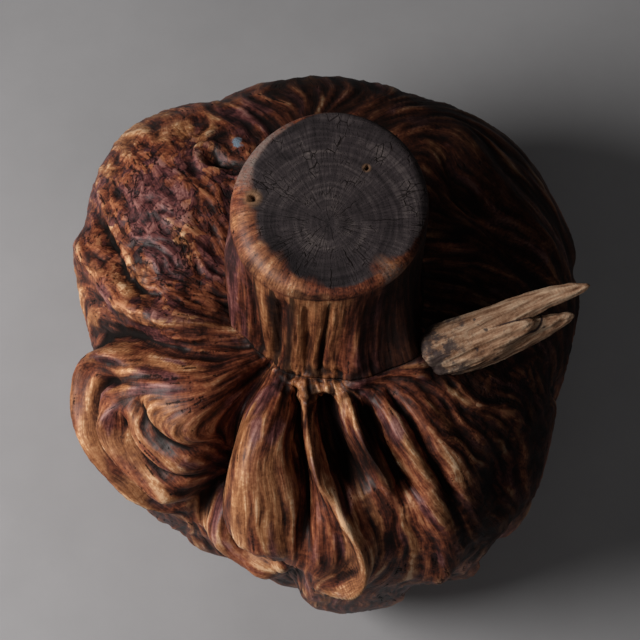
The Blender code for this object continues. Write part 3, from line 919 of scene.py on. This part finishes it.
def splinter(path, thick, thin, seed):
    """Rings of an uneven profile around a path: radius eases from thick to thin, then closes like a dome."""
    rng = np.random.default_rng(seed)
    line = smooth_line(path, SPLINTER_RINGS // 3) * MM
    share = np.linspace(0, 1, len(line))
    tangent = unit(np.gradient(line, axis=0))
    sideways = unit(np.cross(tangent, (0, 0, 1)))
    upwards = np.cross(sideways, tangent)
    turn = np.arange(SPLINTER_SIDES) * TURN / SPLINTER_SIDES
    bumps = rng.uniform(0, TURN, 4)
    profile = 1 + 0.14 * np.cos(2 * turn + bumps[0]) + 0.10 * np.cos(3 * turn + bumps[1])
    profile += 0.05 * np.cos(7 * turn + bumps[2])
    tip = np.clip((share - TIP_START) / (1 - TIP_START), 0, 1)
    heel = np.clip((HEEL_END - share) / HEEL_END, 0, 1)
    closing = np.sqrt(1 - tip**2) * np.sqrt(1 - heel**2)
    radius = (thick + (thin - thick) * share**1.2) * MM * closing
    ring = np.cos(turn)[:, None] * sideways[:, None] + np.sin(turn)[:, None] * upwards[:, None]
    return line[:, None] + ring * (radius[:, None] * profile)[..., None]


def near_splinters(points):
    """Distance to each splinter's path minus its radius there, in metres, the smallest first."""
    gaps = []
    for path, thick, thin in SPLINTERS.values():
        line = smooth_line(path, 20) * MM
        away = np.linalg.norm(points[:, None] - line[None], axis=-1)
        nearest = away.argmin(axis=1)
        share = nearest / (len(line) - 1)
        gaps.append(away.min(axis=1) - (thick + (thin - thick) * share**1.2) * MM)
    return np.sort(gaps, axis=0)


print("splinters, thickest in mm:", max(sizes[1] for sizes in SPLINTERS.values()))

# %% [markdown]
# The Remesh modifier needs one object, so the splinters are joined first. Its voxel size sets the finest
# detail that survives. Afterwards the code reads the new points back and pushes them along their normals by
# noise stretched along the twig. Where two splinters are equally near, the cleft between them is painted dark
# as shade.


# %% Build the twig
def build_twig():
    """The splinters as one remeshed skin with fibre grooves, and its colour maps."""
    shells = [splinter(*sizes, seed) for seed, sizes in enumerate(SPLINTERS.values())]
    parts = [close_grid("splinter", shell, shell[0].mean(0), shell[-1].mean(0)) for shell in shells]
    with bpy.context.temp_override(active_object=parts[0], selected_editable_objects=parts):
        bpy.ops.object.join()
    rough = parts[0]
    remesh = rough.modifiers.new("one_skin", "REMESH")
    remesh.voxel_size = VOXEL
    mesh = bpy.data.meshes.new_from_object(rough.evaluated_get(bpy.context.evaluated_depsgraph_get()))
    bpy.data.objects.remove(rough)
    mesh.shade_smooth()
    points = np.empty(len(mesh.vertices) * 3, np.float32)
    normals = np.empty_like(points)
    mesh.vertices.foreach_get("co", points)
    mesh.vertex_normals.foreach_get("vector", normals)
    points, normals = points.reshape(-1, 3).astype(float), normals.reshape(-1, 3)
    along = points @ TWIG_AXIS
    drawn = points - TWIG_AXIS * (along * 0.93)[:, None]
    grooves = soft_noise(drawn / (2.4 * MM), 71) + 0.6 * soft_noise(drawn / (1.2 * MM), 72)
    chips = rough_noise(points / (5 * MM), 73)
    points += normals * ((0.30 * grooves + 0.40 * chips) * MM)[:, None]
    mesh.vertices.foreach_set("co", points.astype(np.float32).ravel())
    twig = bpy.data.objects.new("broken_twig", mesh)
    bpy.context.scene.collection.objects.link(twig)
    gaps = near_splinters(points)
    from_root = smoothstep(along, along.min(), along.max())
    crevice = smoothstep(gaps[1] - gaps[0], 0.7 * MM, 0.1 * MM) * smoothstep(from_root, 0.35, 0.6)
    store(twig, "groove", grooves)
    store(twig, "crevice", crevice)
    store(twig, "from_root", from_root)
    print("broken_twig:", len(mesh.polygons), "faces")
    return twig


twig = build_twig()

# %% [markdown]
# ## Shader building blocks
#
# A node tree is easier to read as code when a node and its links are one line. `add` makes a node, sets its
# settings and wires or sets its inputs; `calc` is a Math node; `group` makes a node group with named sockets.
# All the others are short names for the nodes that come up most.


# %% Node helpers
def wire(tree, value, socket):
    """Links an output to the socket, or sets the socket's value."""
    if isinstance(value, bpy.types.NodeSocket):
        tree.links.new(value, socket)
    else:
        socket.default_value = value


def add(tree, kind, inputs=None, **settings):
    """A shader node with its settings and inputs."""
    node = tree.nodes.new("ShaderNode" + kind)
    for name, value in settings.items():
        setattr(node, name, value)
    for name, value in (inputs or {}).items():
        wire(tree, value, node.inputs[name])
    return node


def calc(tree, operation, *values, clamp=False):
    """The result of a Math node."""
    node = add(tree, "Math", dict(enumerate(values)), operation=operation, use_clamp=clamp)
    return node.outputs[0]


def times(tree, first, second):
    """The product of two values."""
    return calc(tree, "MULTIPLY", first, second)


def flip(tree, value):
    """1 minus the value."""
    return calc(tree, "SUBTRACT", 1.0, value)


def vector_calc(tree, operation, *values):
    """The result of a Vector Math node: a number for a length or distance, a vector otherwise."""
    node = add(tree, "VectorMath", dict(enumerate(values)), operation=operation)
    return node.outputs["Value" if operation in ("LENGTH", "DISTANCE") else "Vector"]


def xyz(tree, vector):
    """The outputs X, Y and Z of a vector."""
    return add(tree, "SeparateXYZ", {"Vector": vector}).outputs


def object_place(tree):
    """The place of the shaded point in the piece's own metres."""
    return add(tree, "TexCoord").outputs["Object"]


def weigh(tree, *pairs):
    """The sum of values times their weights."""
    total = 0.0
    for value, weight in pairs:
        total = calc(tree, "MULTIPLY_ADD", value, weight, total)
    return total


def soft_step(tree, value, low, high):
    """0 below low, 1 above high and a soft S between."""
    inputs = {"Value": value, "From Min": low, "From Max": high}
    return add(tree, "MapRange", inputs, interpolation_type="SMOOTHSTEP").outputs[0]


def noise(tree, vector, scale, detail=2.0, roughness=0.5, distortion=0.0):
    """A noise texture's value, from 0 to 1."""
    inputs = {"Vector": vector, "Scale": scale, "Detail": detail, "Roughness": roughness}
    return add(tree, "TexNoise", {**inputs, "Distortion": distortion}).outputs[0]


def ramp(tree, value, stops):
    """A colour ramp with (position, colour) stops."""
    node = add(tree, "ValToRGB", {"Fac": value})
    elements = node.color_ramp.elements
    while len(elements) < len(stops):
        elements.new(0.5)
    for element, (position, colour) in zip(elements, stops):
        element.position = position
        element.color = (*colour, 1)
    return node.outputs[0]


def blend(tree, share, first, second):
    """Two colours blended: the first at share 0, the second at share 1."""
    node = add(tree, "Mix", data_type="RGBA")
    wire(tree, share, node.inputs[0])
    wire(tree, first, node.inputs[6])
    wire(tree, second, node.inputs[7])
    return node.outputs[2]


def attribute(tree, name):
    """The attribute node of one of the mesh's own attributes."""
    return add(tree, "Attribute", attribute_name=name)


def group(name, inputs, outputs):
    """A node group with named inputs (name, kind, default) and outputs (name, kind)."""
    tree = bpy.data.node_groups.new(name, "ShaderNodeTree")
    sockets = tree.interface
    for socket_name, kind, default in inputs:
        socket = sockets.new_socket(socket_name, in_out="INPUT", socket_type="NodeSocket" + kind)
        if default is not None:
            socket.default_value = default
    for socket_name, kind in outputs:
        sockets.new_socket(socket_name, in_out="OUTPUT", socket_type="NodeSocket" + kind)
    return tree, tree.nodes.new("NodeGroupInput").outputs, tree.nodes.new("NodeGroupOutput").inputs


def use(tree, made, **inputs):
    """A group placed in a material, with its inputs."""
    node = tree.nodes.new("ShaderNodeGroup")
    node.node_tree = made
    for name, value in inputs.items():
        wire(tree, value, node.inputs[name.replace("_", " ").capitalize()])
    return node.outputs


# %% [markdown]
# ## Fine fibres
#
# Fibres are finer than the mesh, so the shader draws them. It reads noise at thirteen places in a row along
# the fibre's direction, which each point carries as an attribute, and takes the average: the same smearing as
# before, but at the scale of pores. Two widths are used, one for fibres and one for hairline cracks.

# %% Group: fine fibres
TAPS = 13
CONTRAST = 2.6


def make_fibres():
    """The mean of fine noise at places within Reach along the fibre, brought back to full contrast."""
    inputs = [("Fibre", "Vector", None), ("Width", "Float", 0.0006), ("Reach", "Float", 0.003)]
    inputs.append(("Shift", "Float", 0.0))
    tree, given, out = group("fine_fibres", inputs, [("Value", "Float")])
    place = object_place(tree)
    place = vector_calc(tree, "ADD", place, given["Shift"])
    scale = calc(tree, "DIVIDE", 1.0, given["Width"])
    total = 0.0
    for tap in range(TAPS):
        stride = times(tree, given["Reach"], 2 * tap / (TAPS - 1) - 1)
        step = add(tree, "VectorMath", {0: given["Fibre"], "Scale": stride}, operation="SCALE").outputs[0]
        there = vector_calc(tree, "ADD", place, step)
        total = calc(tree, "ADD", total, noise(tree, there, scale, 0.0))
    centred = calc(tree, "MULTIPLY_ADD", total, 1 / TAPS, -0.5)
    wire(tree, calc(tree, "MULTIPLY_ADD", centred, CONTRAST, 0.5, clamp=True), out["Value"])
    return tree


FIBRES = make_fibres()
print("group:", FIBRES.name, "with", len(FIBRES.nodes), "nodes")

# %% [markdown]
# ## Side grain
#
# Oiled side grain is three woods in one: rust-brown heartwood, honey sapwood and plum-coloured stain. Each
# has its own colour ramp from its dark streaks to its light ones. The streaks give the place on the ramps,
# and soft masks choose the wood. Hollows and the dark tint then fade to black as painted shade, and cracks
# open where the smeared noise is lowest, which makes slits along the grain.

# %% Group: side grain
RUST = (
    (0.0, (0.010, 0.0033, 0.0022)),
    (0.30, (0.044, 0.0108, 0.006)),
    (0.55, (0.130, 0.033, 0.0155)),
    (0.80, (0.245, 0.074, 0.032)),
    (1.0, (0.370, 0.145, 0.066)),
)
HONEY = (
    (0.0, (0.040, 0.011, 0.005)),
    (0.30, (0.135, 0.043, 0.016)),
    (0.60, (0.290, 0.114, 0.045)),
    (0.85, (0.430, 0.212, 0.100)),
    (1.0, (0.580, 0.370, 0.225)),
)
PLUM = (
    (0.0, (0.008, 0.004, 0.005)),
    (0.35, (0.046, 0.0145, 0.016)),
    (0.65, (0.128, 0.040, 0.040)),
    (1.0, (0.290, 0.135, 0.120)),
)
# near black: painted shade in hollows, flutes and worm holes, and the colour of real cracks, checks and pores
SHADE_CRACK_AND_PORE_BLACK = (0.0040, 0.0020, 0.0016, 1)


def make_side_grain():
    """Colour, roughness and height of oiled side grain from the streak, patch, tint and hollow maps."""
    inputs = [(name, "Vector", None) for name in ("Streaks", "Patches", "Tint", "Fibre", "Extra")]
    inputs.append(("Hollow", "Float", 0.0))
    outputs = [("Colour", "Color"), ("Roughness", "Float"), ("Height", "Float"), ("Oil", "Float")]
    tree, given, out = group("side_grain", inputs, outputs)
    layer, patch, push = (xyz(tree, given[name]) for name in ("Streaks", "Patches", "Tint"))
    sunk = given["Hollow"]
    flaky = xyz(tree, given["Extra"])["X"]
    place = object_place(tree)
    thin = use(tree, FIBRES, fibre=given["Fibre"], width=0.0007, reach=0.0032)["Value"]
    thread = use(tree, FIBRES, fibre=given["Fibre"], width=0.0017, reach=0.009, shift=0.31)["Value"]
    blotch = calc(tree, "SUBTRACT", noise(tree, place, 95.0, 4.0, 0.6, 0.6), 0.5)
    cloud = calc(tree, "SUBTRACT", noise(tree, place, 42.0, 3.0, 0.55, 0.4), 0.5)
    grit = calc(tree, "SUBTRACT", noise(tree, place, 620.0, 2.0, 0.6), 0.5)
    stir = add(tree, "TexNoise", {"Vector": place, "Scale": 120.0, "Detail": 3.0}).outputs["Color"]
    stirred = vector_calc(tree, "MULTIPLY_ADD", stir, (0.011, 0.011, 0.011), place)
    chips = add(tree, "TexVoronoi", {"Vector": stirred, "Scale": 230.0})
    chip = calc(tree, "SUBTRACT", xyz(tree, chips.outputs["Color"])["X"], 0.5)
    chip = times(tree, chip, flaky)
    chip_edge = times(tree, soft_step(tree, chips.outputs["Distance"], 0.5, 0.8), flaky)
    fine = weigh(tree, (thin, 0.7), (thread, 0.55), (chip, 0.42), (chip_edge, -0.3))
    tones = (layer["Y"], 0.42), (layer["Z"], 0.36), (layer["X"], 0.25), (patch["Z"], 0.3), (fine, 1.0)
    tone = weigh(tree, *tones)
    # painted shade: the tone darkens where the surface is sunk in a hollow
    tone = weigh(tree, (blotch, 0.75), (grit, 0.5), (sunk, -0.34), (flaky, 0.08), (tone, 1.0))
    tone = calc(tree, "SUBTRACT", tone, 0.20)
    pales = (patch["X"], 0.95), (push["X"], 0.72), (layer["Y"], 0.25), (cloud, 0.8), (sunk, -0.3)
    pale_push = weigh(tree, (weigh(tree, *pales), 1.0), (chip, 0.25), (flaky, -0.12))
    plums = (patch["Y"], 0.95), (push["Y"], 0.75), (layer["Y"], -0.2), (blotch, 0.9), (push["X"], -0.3)
    plum_push = weigh(tree, (weigh(tree, *plums), 1.0), (chip, -0.5))
    pale_share = soft_step(tree, pale_push, 0.2, 0.75)
    plum_share = soft_step(tree, plum_push, 0.1, 0.5)
    wood = blend(tree, pale_share, ramp(tree, tone, RUST), ramp(tree, tone, HONEY))
    wood = blend(tree, times(tree, plum_share, 0.9), wood, ramp(tree, tone, PLUM))
    slit = weigh(tree, (thread, 1.0), (cloud, 0.7), (push["X"], 0.08), (flaky, -0.06))
    crack = flip(tree, soft_step(tree, slit, 0.23, 0.31))
    # painted shade and cracks: hollows, slits and the dark tint's painted shadow go towards black
    shade_and_cracks = soft_step(tree, weigh(tree, (sunk, 1.0), (layer["Z"], -0.2), (blotch, 0.3)), 0.22, 0.85)
    shade_and_cracks = calc(tree, "MAXIMUM", shade_and_cracks, times(tree, crack, 0.8))
    shade = weigh(tree, (push["Z"], 0.8), (layer["X"], -0.5), (layer["Y"], -0.3))
    shade_and_cracks = calc(tree, "MAXIMUM", shade_and_cracks, times(tree, soft_step(tree, shade, 0.0, 0.9), 0.86))
    wire(tree, blend(tree, shade_and_cracks, wood, SHADE_CRACK_AND_PORE_BLACK), out["Colour"])
    wire(tree, calc(tree, "ADD", weigh(tree, (shade_and_cracks, 0.25), (thin, 0.16)), 0.45), out["Roughness"])
    wire(tree, times(tree, flip(tree, shade_and_cracks), 0.24), out["Oil"])
    heights = (thin, 0.5), (thread, 0.6), (crack, -0.9), (chip, 0.9), (chip_edge, -0.5)
    wire(tree, weigh(tree, *heights), out["Height"])
    return tree


SIDE_GRAIN = make_side_grain()
VECTOR_MAPS = ("streaks", "patches", "tint", "fibre", "extra")


def lay_side_grain(tree):
    """The side grain group, fed with the mesh's own maps."""
    maps = {name: attribute(tree, name).outputs["Vector"] for name in VECTOR_MAPS}
    return use(tree, SIDE_GRAIN, **maps, hollow=attribute(tree, "hollow").outputs["Fac"])


def new_material(name, sheen_level=0.12, oil_roughness=0.4):
    """A material, its tree and its Principled shader: bare wood reflects little, and oil is a coat on it."""
    made = bpy.data.materials.new(name)
    made.use_nodes = True
    shader = made.node_tree.nodes["Principled BSDF"]
    shader.inputs["Specular IOR Level"].default_value = sheen_level
    shader.inputs["Coat Roughness"].default_value = oil_roughness
    return made, made.node_tree, shader


def set_bump(tree, shader, height, distance, strength=0.7):
    """A Bump node in front of the shader's Normal."""
    bump = add(tree, "Bump", {"Height": height, "Strength": strength, "Distance": distance})
    wire(tree, bump.outputs[0], shader.inputs["Normal"])


BLUE_GREY = (0.16, 0.21, 0.27, 1)


def make_burl_wood():
    """Oiled side grain with one mouldy blue spot."""
    made, tree, shader = new_material("oiled_burl")
    wood = lay_side_grain(tree)
    extra = xyz(tree, attribute(tree, "extra").outputs["Vector"])
    spots = noise(tree, object_place(tree), 260.0, 3.0)
    mould = soft_step(tree, times(tree, extra["Y"], spots), 0.22, 0.36)
    wire(tree, blend(tree, mould, wood["Colour"], BLUE_GREY), shader.inputs["Base Color"])
    wire(tree, wood["Roughness"], shader.inputs["Roughness"])
    wire(tree, wood["Oil"], shader.inputs["Coat Weight"])
    set_bump(tree, shader, wood["Height"], 0.5 * MM)
    return made


# %% [markdown]
# ## End grain
#
# The sawn face looks down the fibres, so it shows growth rings, rays that run out from the pith, and dots
# of pores. It has dried, gone grey, and split into hairline checks. All of this is drawn in coordinates
# around the pith: distance gives rings, and the direction, as a point on a circle, gives rays without a
# seam. The longer checks are needles: each is a circle stretched by a Mapping node, and noise bends them.

# %% The stub's material
PITH = (3.4 * MM, 5.3 * MM, 226 * MM)
SLATE = (
    (0.0, (0.0050, 0.0042, 0.0050)),
    (0.35, (0.016, 0.0128, 0.0140)),
    (0.62, (0.040, 0.0315, 0.0335)),
    (0.85, (0.088, 0.071, 0.070)),
    (1.0, (0.160, 0.130, 0.120)),
)
# each check: its angle in degrees, then its start, end and half width in mm
CHECKS = (
    (3, 15, 35, 0.16), (-63, 13, 24, 0.26), (-47, 17, 27, 0.14), (172, 8, 20, 0.14),
    (205, 16, 30, 0.20), (222, 20, 31, 0.24), (238, 22, 31, 0.24), (-88, 20, 38, 0.30),
    (143, 17, 26, 0.16), (120, 7, 15, 0.12), (40, 6, 16, 0.12), (-20, 4, 14, 0.12), (-110, 3, 12, 0.16),
    (-140, 2, 10, 0.14), (160, 1, 9, 0.12), (98, 1, 8, 0.12), (-78, 2, 10, 0.16), (58, 20, 31, 0.12),
)
CROOK = 2.2 * MM


def make_end_grain():
    """Colour and height of weathered end grain around the pith."""
    outputs = [("Colour", "Color"), ("Height", "Float")]
    tree, given, out = group("end_grain", [("Slate band", "Float", 0.0)], outputs)
    place = object_place(tree)
    from_pith = vector_calc(tree, "SUBTRACT", place, PITH)
    flat = vector_calc(tree, "MULTIPLY", from_pith, (1, 1, 0))
    reach = vector_calc(tree, "LENGTH", flat)
    way = xyz(tree, vector_calc(tree, "NORMALIZE", flat))
    wander = calc(tree, "SUBTRACT", noise(tree, place, 38.0, 3.0), 0.5)

    def polar(turns, rings):
        """Noise coordinates: a circle of radius turns for the direction, and rings times the distance."""
        bent = calc(tree, "MULTIPLY_ADD", wander, 0.006, reach)
        across = {axis: times(tree, way[axis], turns) for axis in ("X", "Y")}
        return add(tree, "CombineXYZ", {**across, "Z": times(tree, bent, rings)}).outputs[0]

    rings = noise(tree, polar(0.7, 520.0), 1.0, 3.0, 0.6)
    rays = noise(tree, polar(34.0, 110.0), 1.0, 2.0, 0.6)
    cloud = noise(tree, place, 70.0, 4.0, 0.6, 0.5)
    pores = add(tree, "TexVoronoi", {"Vector": place, "Scale": 1150.0}).outputs["Distance"]
    pore = flip(tree, soft_step(tree, pores, 0.12, 0.34))
    cells = {"Vector": polar(13.0, 170.0), "Scale": 1.0}
    cells = add(tree, "TexVoronoi", cells, feature="DISTANCE_TO_EDGE").outputs[0]
    split = flip(tree, soft_step(tree, cells, 0.01, 0.06))
    check = times(tree, split, soft_step(tree, cloud, 0.5, 0.62))
    bend = add(tree, "TexNoise", {"Vector": place, "Scale": 260.0, "Detail": 1.0}).outputs["Color"]
    crooked = vector_calc(tree, "MULTIPLY_ADD", bend, (CROOK, CROOK, 0), flat)
    nearest = 100.0
    for angle, start, end, width in CHECKS:
        turn = np.radians(angle)
        middle = (start + end) / 2 * MM
        shift = (np.cos(turn) * middle + CROOK / 2, np.sin(turn) * middle + CROOK / 2, 0)
        needle = {"Vector": crooked, "Location": shift, "Rotation": (0, 0, turn)}
        needle["Scale"] = ((end - start) / 2 * MM, width * MM, 1)
        away = vector_calc(tree, "LENGTH", add(tree, "Mapping", needle, vector_type="TEXTURE").outputs[0])
        nearest = calc(tree, "MINIMUM", nearest, away)
    check = calc(tree, "MAXIMUM", check, flip(tree, soft_step(tree, nearest, 0.6, 1.3)))
    grey = weigh(tree, (rings, 0.8), (rays, 0.6), (cloud, 0.8), (given["Slate band"], -0.3), (pore, -0.2))
    grey = calc(tree, "SUBTRACT", grey, 0.50)
    colour = blend(tree, times(tree, check, 0.85), ramp(tree, grey, SLATE), SHADE_CRACK_AND_PORE_BLACK)
    wire(tree, colour, out["Colour"])
    wire(tree, weigh(tree, (rings, 0.35), (rays, 0.35), (pore, -0.25), (check, -1.0)), out["Height"])
    return tree


END_GRAIN = make_end_grain()
ASH = (0.210, 0.165, 0.145, 1)
HALO = (0.30, 0.16, 0.08, 1)


def make_stub_wood():
    """End grain on the flat face, side grain on the wall, worn wood between, and two worm holes."""
    made, tree, shader = new_material("weathered_stub")
    wood = lay_side_grain(tree)
    place = object_place(tree)
    sawn_map = xyz(tree, attribute(tree, "sawn").outputs["Vector"])
    end = use(tree, END_GRAIN, slate_band=sawn_map["Y"])
    pores = add(tree, "TexVoronoi", {"Vector": place, "Scale": 900.0}).outputs["Distance"]
    speckle = noise(tree, place, 150.0, 4.0, 0.7)
    fibre_way = attribute(tree, "fibre").outputs["Vector"]
    ring = use(tree, FIBRES, fibre=fibre_way, width=0.0011, reach=0.007)["Value"]
    worn = weigh(tree, (sawn_map["Z"], 0.8), (speckle, 0.9), (ring, 0.5))
    edge = blend(tree, soft_step(tree, worn, 1.05, 1.75), wood["Colour"], ASH)
    pepper = calc(tree, "SUBTRACT", 0.6, times(tree, soft_step(tree, pores, 0.1, 0.36), 0.6))
    pepper = times(tree, pepper, xyz(tree, attribute(tree, "extra").outputs["Vector"])["Z"])
    edge = blend(tree, pepper, edge, SHADE_CRACK_AND_PORE_BLACK)
    colour = blend(tree, sawn_map["X"], edge, end["Colour"])
    for spot, radius in WORM_HOLES:
        away = vector_calc(tree, "DISTANCE", place, tuple(value * MM for value in spot))
        halo = flip(tree, soft_step(tree, away, radius * 1.1 * MM, radius * 3.2 * MM))
        colour = blend(tree, times(tree, halo, 0.6), colour, HALO)
        # painted shade: the inside of each worm hole is black
        hole = flip(tree, soft_step(tree, away, radius * 0.85 * MM, radius * 1.05 * MM))
        colour = blend(tree, hole, colour, SHADE_CRACK_AND_PORE_BLACK)
    wire(tree, colour, shader.inputs["Base Color"])
    dry = calc(tree, "MULTIPLY_ADD", sawn_map["X"], 0.22, wood["Roughness"])
    wire(tree, dry, shader.inputs["Roughness"])
    oiled = times(tree, wood["Oil"], flip(tree, sawn_map["X"]))
    wire(tree, oiled, shader.inputs["Coat Weight"])
    height = add(tree, "Mix", {0: sawn_map["X"], 2: wood["Height"], 3: end["Height"]}).outputs[0]
    set_bump(tree, shader, height, 0.45 * MM)
    return made


# %% [markdown]
# ## Bare twig wood
#
# The twig has no oil in it: pale tan fibres, darker in the grooves, blue-black mould near the root, and black
# painted shade in the clefts between the splinters.

# %% The twig's material
BARE = (
    (0.0, (0.040, 0.015, 0.008)),
    (0.30, (0.150, 0.070, 0.037)),
    (0.60, (0.310, 0.175, 0.105)),
    (1.0, (0.520, 0.365, 0.250)),
)
MOULD_AND_CLEFT_SHADE = (0.020, 0.019, 0.026, 1)


def make_twig_wood():
    """Pale fibres with dark grooves and mould, and black painted shade in the clefts."""
    made, tree, shader = new_material("bare_twig")
    place = object_place(tree)
    names = ("groove", "crevice", "from_root")
    groove, crevice, from_root = (attribute(tree, name).outputs["Fac"] for name in names)
    way = tuple(float(part) for part in TWIG_AXIS)
    thin = use(tree, FIBRES, fibre=way, width=0.0005, reach=0.004)["Value"]
    thread = use(tree, FIBRES, fibre=way, width=0.0014, reach=0.009, shift=0.17)["Value"]
    cloud = noise(tree, place, 90.0, 4.0, 0.6, 0.5)
    # painted shade: the tone darkens in the clefts between splinters
    tone = weigh(tree, (groove, 0.40), (thin, 0.7), (thread, 0.7), (cloud, 0.5), (crevice, -0.6))
    colour = ramp(tree, calc(tree, "SUBTRACT", tone, 0.33), BARE)
    near_root = flip(tree, soft_step(tree, from_root, 0.05, 0.42))
    heel = flip(tree, soft_step(tree, from_root, 0.0, 0.07))
    spots = noise(tree, place, 170.0, 5.0, 0.65, 0.3)
    stain = weigh(tree, (near_root, 0.20), (spots, 0.8), (cloud, 0.4), (heel, 0.12), (thin, -0.1))
    stain = times(tree, soft_step(tree, stain, 0.66, 0.84), 0.85)
    specks = soft_step(tree, noise(tree, place, 210.0, 2.0), 0.66, 0.73)
    black = calc(tree, "MAXIMUM", stain, times(tree, specks, 0.8))
    # painted shade: the clefts between splinters go black
    black = calc(tree, "MAXIMUM", black, times(tree, crevice, 0.9))
    wire(tree, blend(tree, black, colour, MOULD_AND_CLEFT_SHADE), shader.inputs["Base Color"])
    shader.inputs["Roughness"].default_value = 0.68
    set_bump(tree, shader, weigh(tree, (thin, 0.5), (thread, 0.7)), 0.5 * MM)
    return made


# %% [markdown]
# ## Materials onto pieces
#
# Each piece gets its one material. It also rides the body it belongs to and says which solid it replaces and
# which slot its material fills.

# %% Dress the pieces
for piece, material in ((burl, make_burl_wood()), (stub, make_stub_wood()), (twig, make_twig_wood())):
    piece.data.materials.clear()
    piece.data.materials.append(material)
    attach(piece, "root")
    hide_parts("oak_burl")
    print(piece.name, "in", material.name)

# %% [markdown]
# ## The studio
#
# A pale matt floor, a disc light like a window at the left, a weak fill from the front and a dim room. The
# camera looks down steeply from the front with a long lens. It is turned by hand: the columns of its rotation
# are its right, its up and its backwards directions.

# %% Floor, lights and camera
FLOOR_GREYS = ((0.25, (0.325, 0.325, 0.340)), (0.75, (0.380, 0.380, 0.398)))
FLOOR_REACH = 3.0
ROOM_COLOUR, ROOM_STRENGTH = (1.0, 0.97, 0.95, 1), 0.046
LOOK_DOWN, DISTANCE = np.radians(68), 0.95
LENS, SENSOR = 107.9, 36
AIM_RIGHT, AIM_UP = -0.5 * MM, 12.4 * MM
# each light: place, size in metres, power in watts, colour
LIGHTS = {
    "window": ((-0.74, -0.18, 0.66), 0.5, 10.8, (1.0, 0.97, 0.93)),
    "fill": ((0.3, -0.8, 1.1), 1.2, 0.9, (1.0, 0.98, 0.95)),
}
LIGHT_AIM = (0, 0, 0.1)


def make_floor():
    """A large square floor with faint clouds of grey."""
    made = bpy.data.meshes.new("floor")
    corners = [(FLOOR_REACH * x, FLOOR_REACH * y, 0) for x, y in ((-1, -1), (1, -1), (1, 1), (-1, 1))]
    made.from_pydata(corners, [], [(0, 1, 2, 3)])
    plane = bpy.data.objects.new("floor", made)
    bpy.context.scene.collection.objects.link(plane)
    material, tree, shader = new_material("pale_floor")
    clouds = noise(tree, object_place(tree), 9.0, 6.0, 0.62)
    wire(tree, ramp(tree, clouds, FLOOR_GREYS), shader.inputs["Base Color"])
    shader.inputs["Roughness"].default_value = 0.75
    made.materials.append(material)


def make_light(name, place, size, power, colour):
    """A disc light that points from its place to the middle of the burl."""
    light = bpy.data.lights.new(name, "AREA")
    light.shape = "DISK"
    light.size = size
    light.energy = power
    light.color = colour
    lamp = bpy.data.objects.new(name, light)
    bpy.context.scene.collection.objects.link(lamp)
    lamp.location = place
    lamp.rotation_euler = (Vector(LIGHT_AIM) - Vector(place)).to_track_quat("-Z", "Y").to_euler()


def make_camera():
    """A camera DISTANCE from its target, looking down from the front at an angle of LOOK_DOWN."""
    camera = bpy.data.cameras.new("camera")
    holder = bpy.data.objects.new("camera", camera)
    bpy.context.scene.collection.objects.link(holder)
    rightwards = np.array((1, 0, 0))
    forwards = np.array((0, np.cos(LOOK_DOWN), -np.sin(LOOK_DOWN)))
    upwards = np.array((0, np.sin(LOOK_DOWN), np.cos(LOOK_DOWN)))
    target = HEART + upwards * AIM_UP + rightwards * AIM_RIGHT
    place = target - forwards * DISTANCE
    turn = Matrix((tuple(rightwards), tuple(upwards), tuple(-forwards))).transposed()
    holder.matrix_world = Matrix.Translation(Vector(place)) @ turn.to_4x4()
    camera.lens = LENS
    camera.sensor_width = SENSOR
    bpy.context.scene.camera = holder


make_floor()
for name, sizes in LIGHTS.items():
    make_light(name, *sizes)
make_camera()
world = bpy.data.worlds.new("room")
bpy.context.scene.world = world
world.use_nodes = True
world.node_tree.nodes["Background"].inputs["Color"].default_value = ROOM_COLOUR
world.node_tree.nodes["Background"].inputs["Strength"].default_value = ROOM_STRENGTH
bpy.context.scene.view_settings.view_transform = "Standard"
print("studio:", len(LIGHTS), "lights, camera", DISTANCE, "m from the burl")
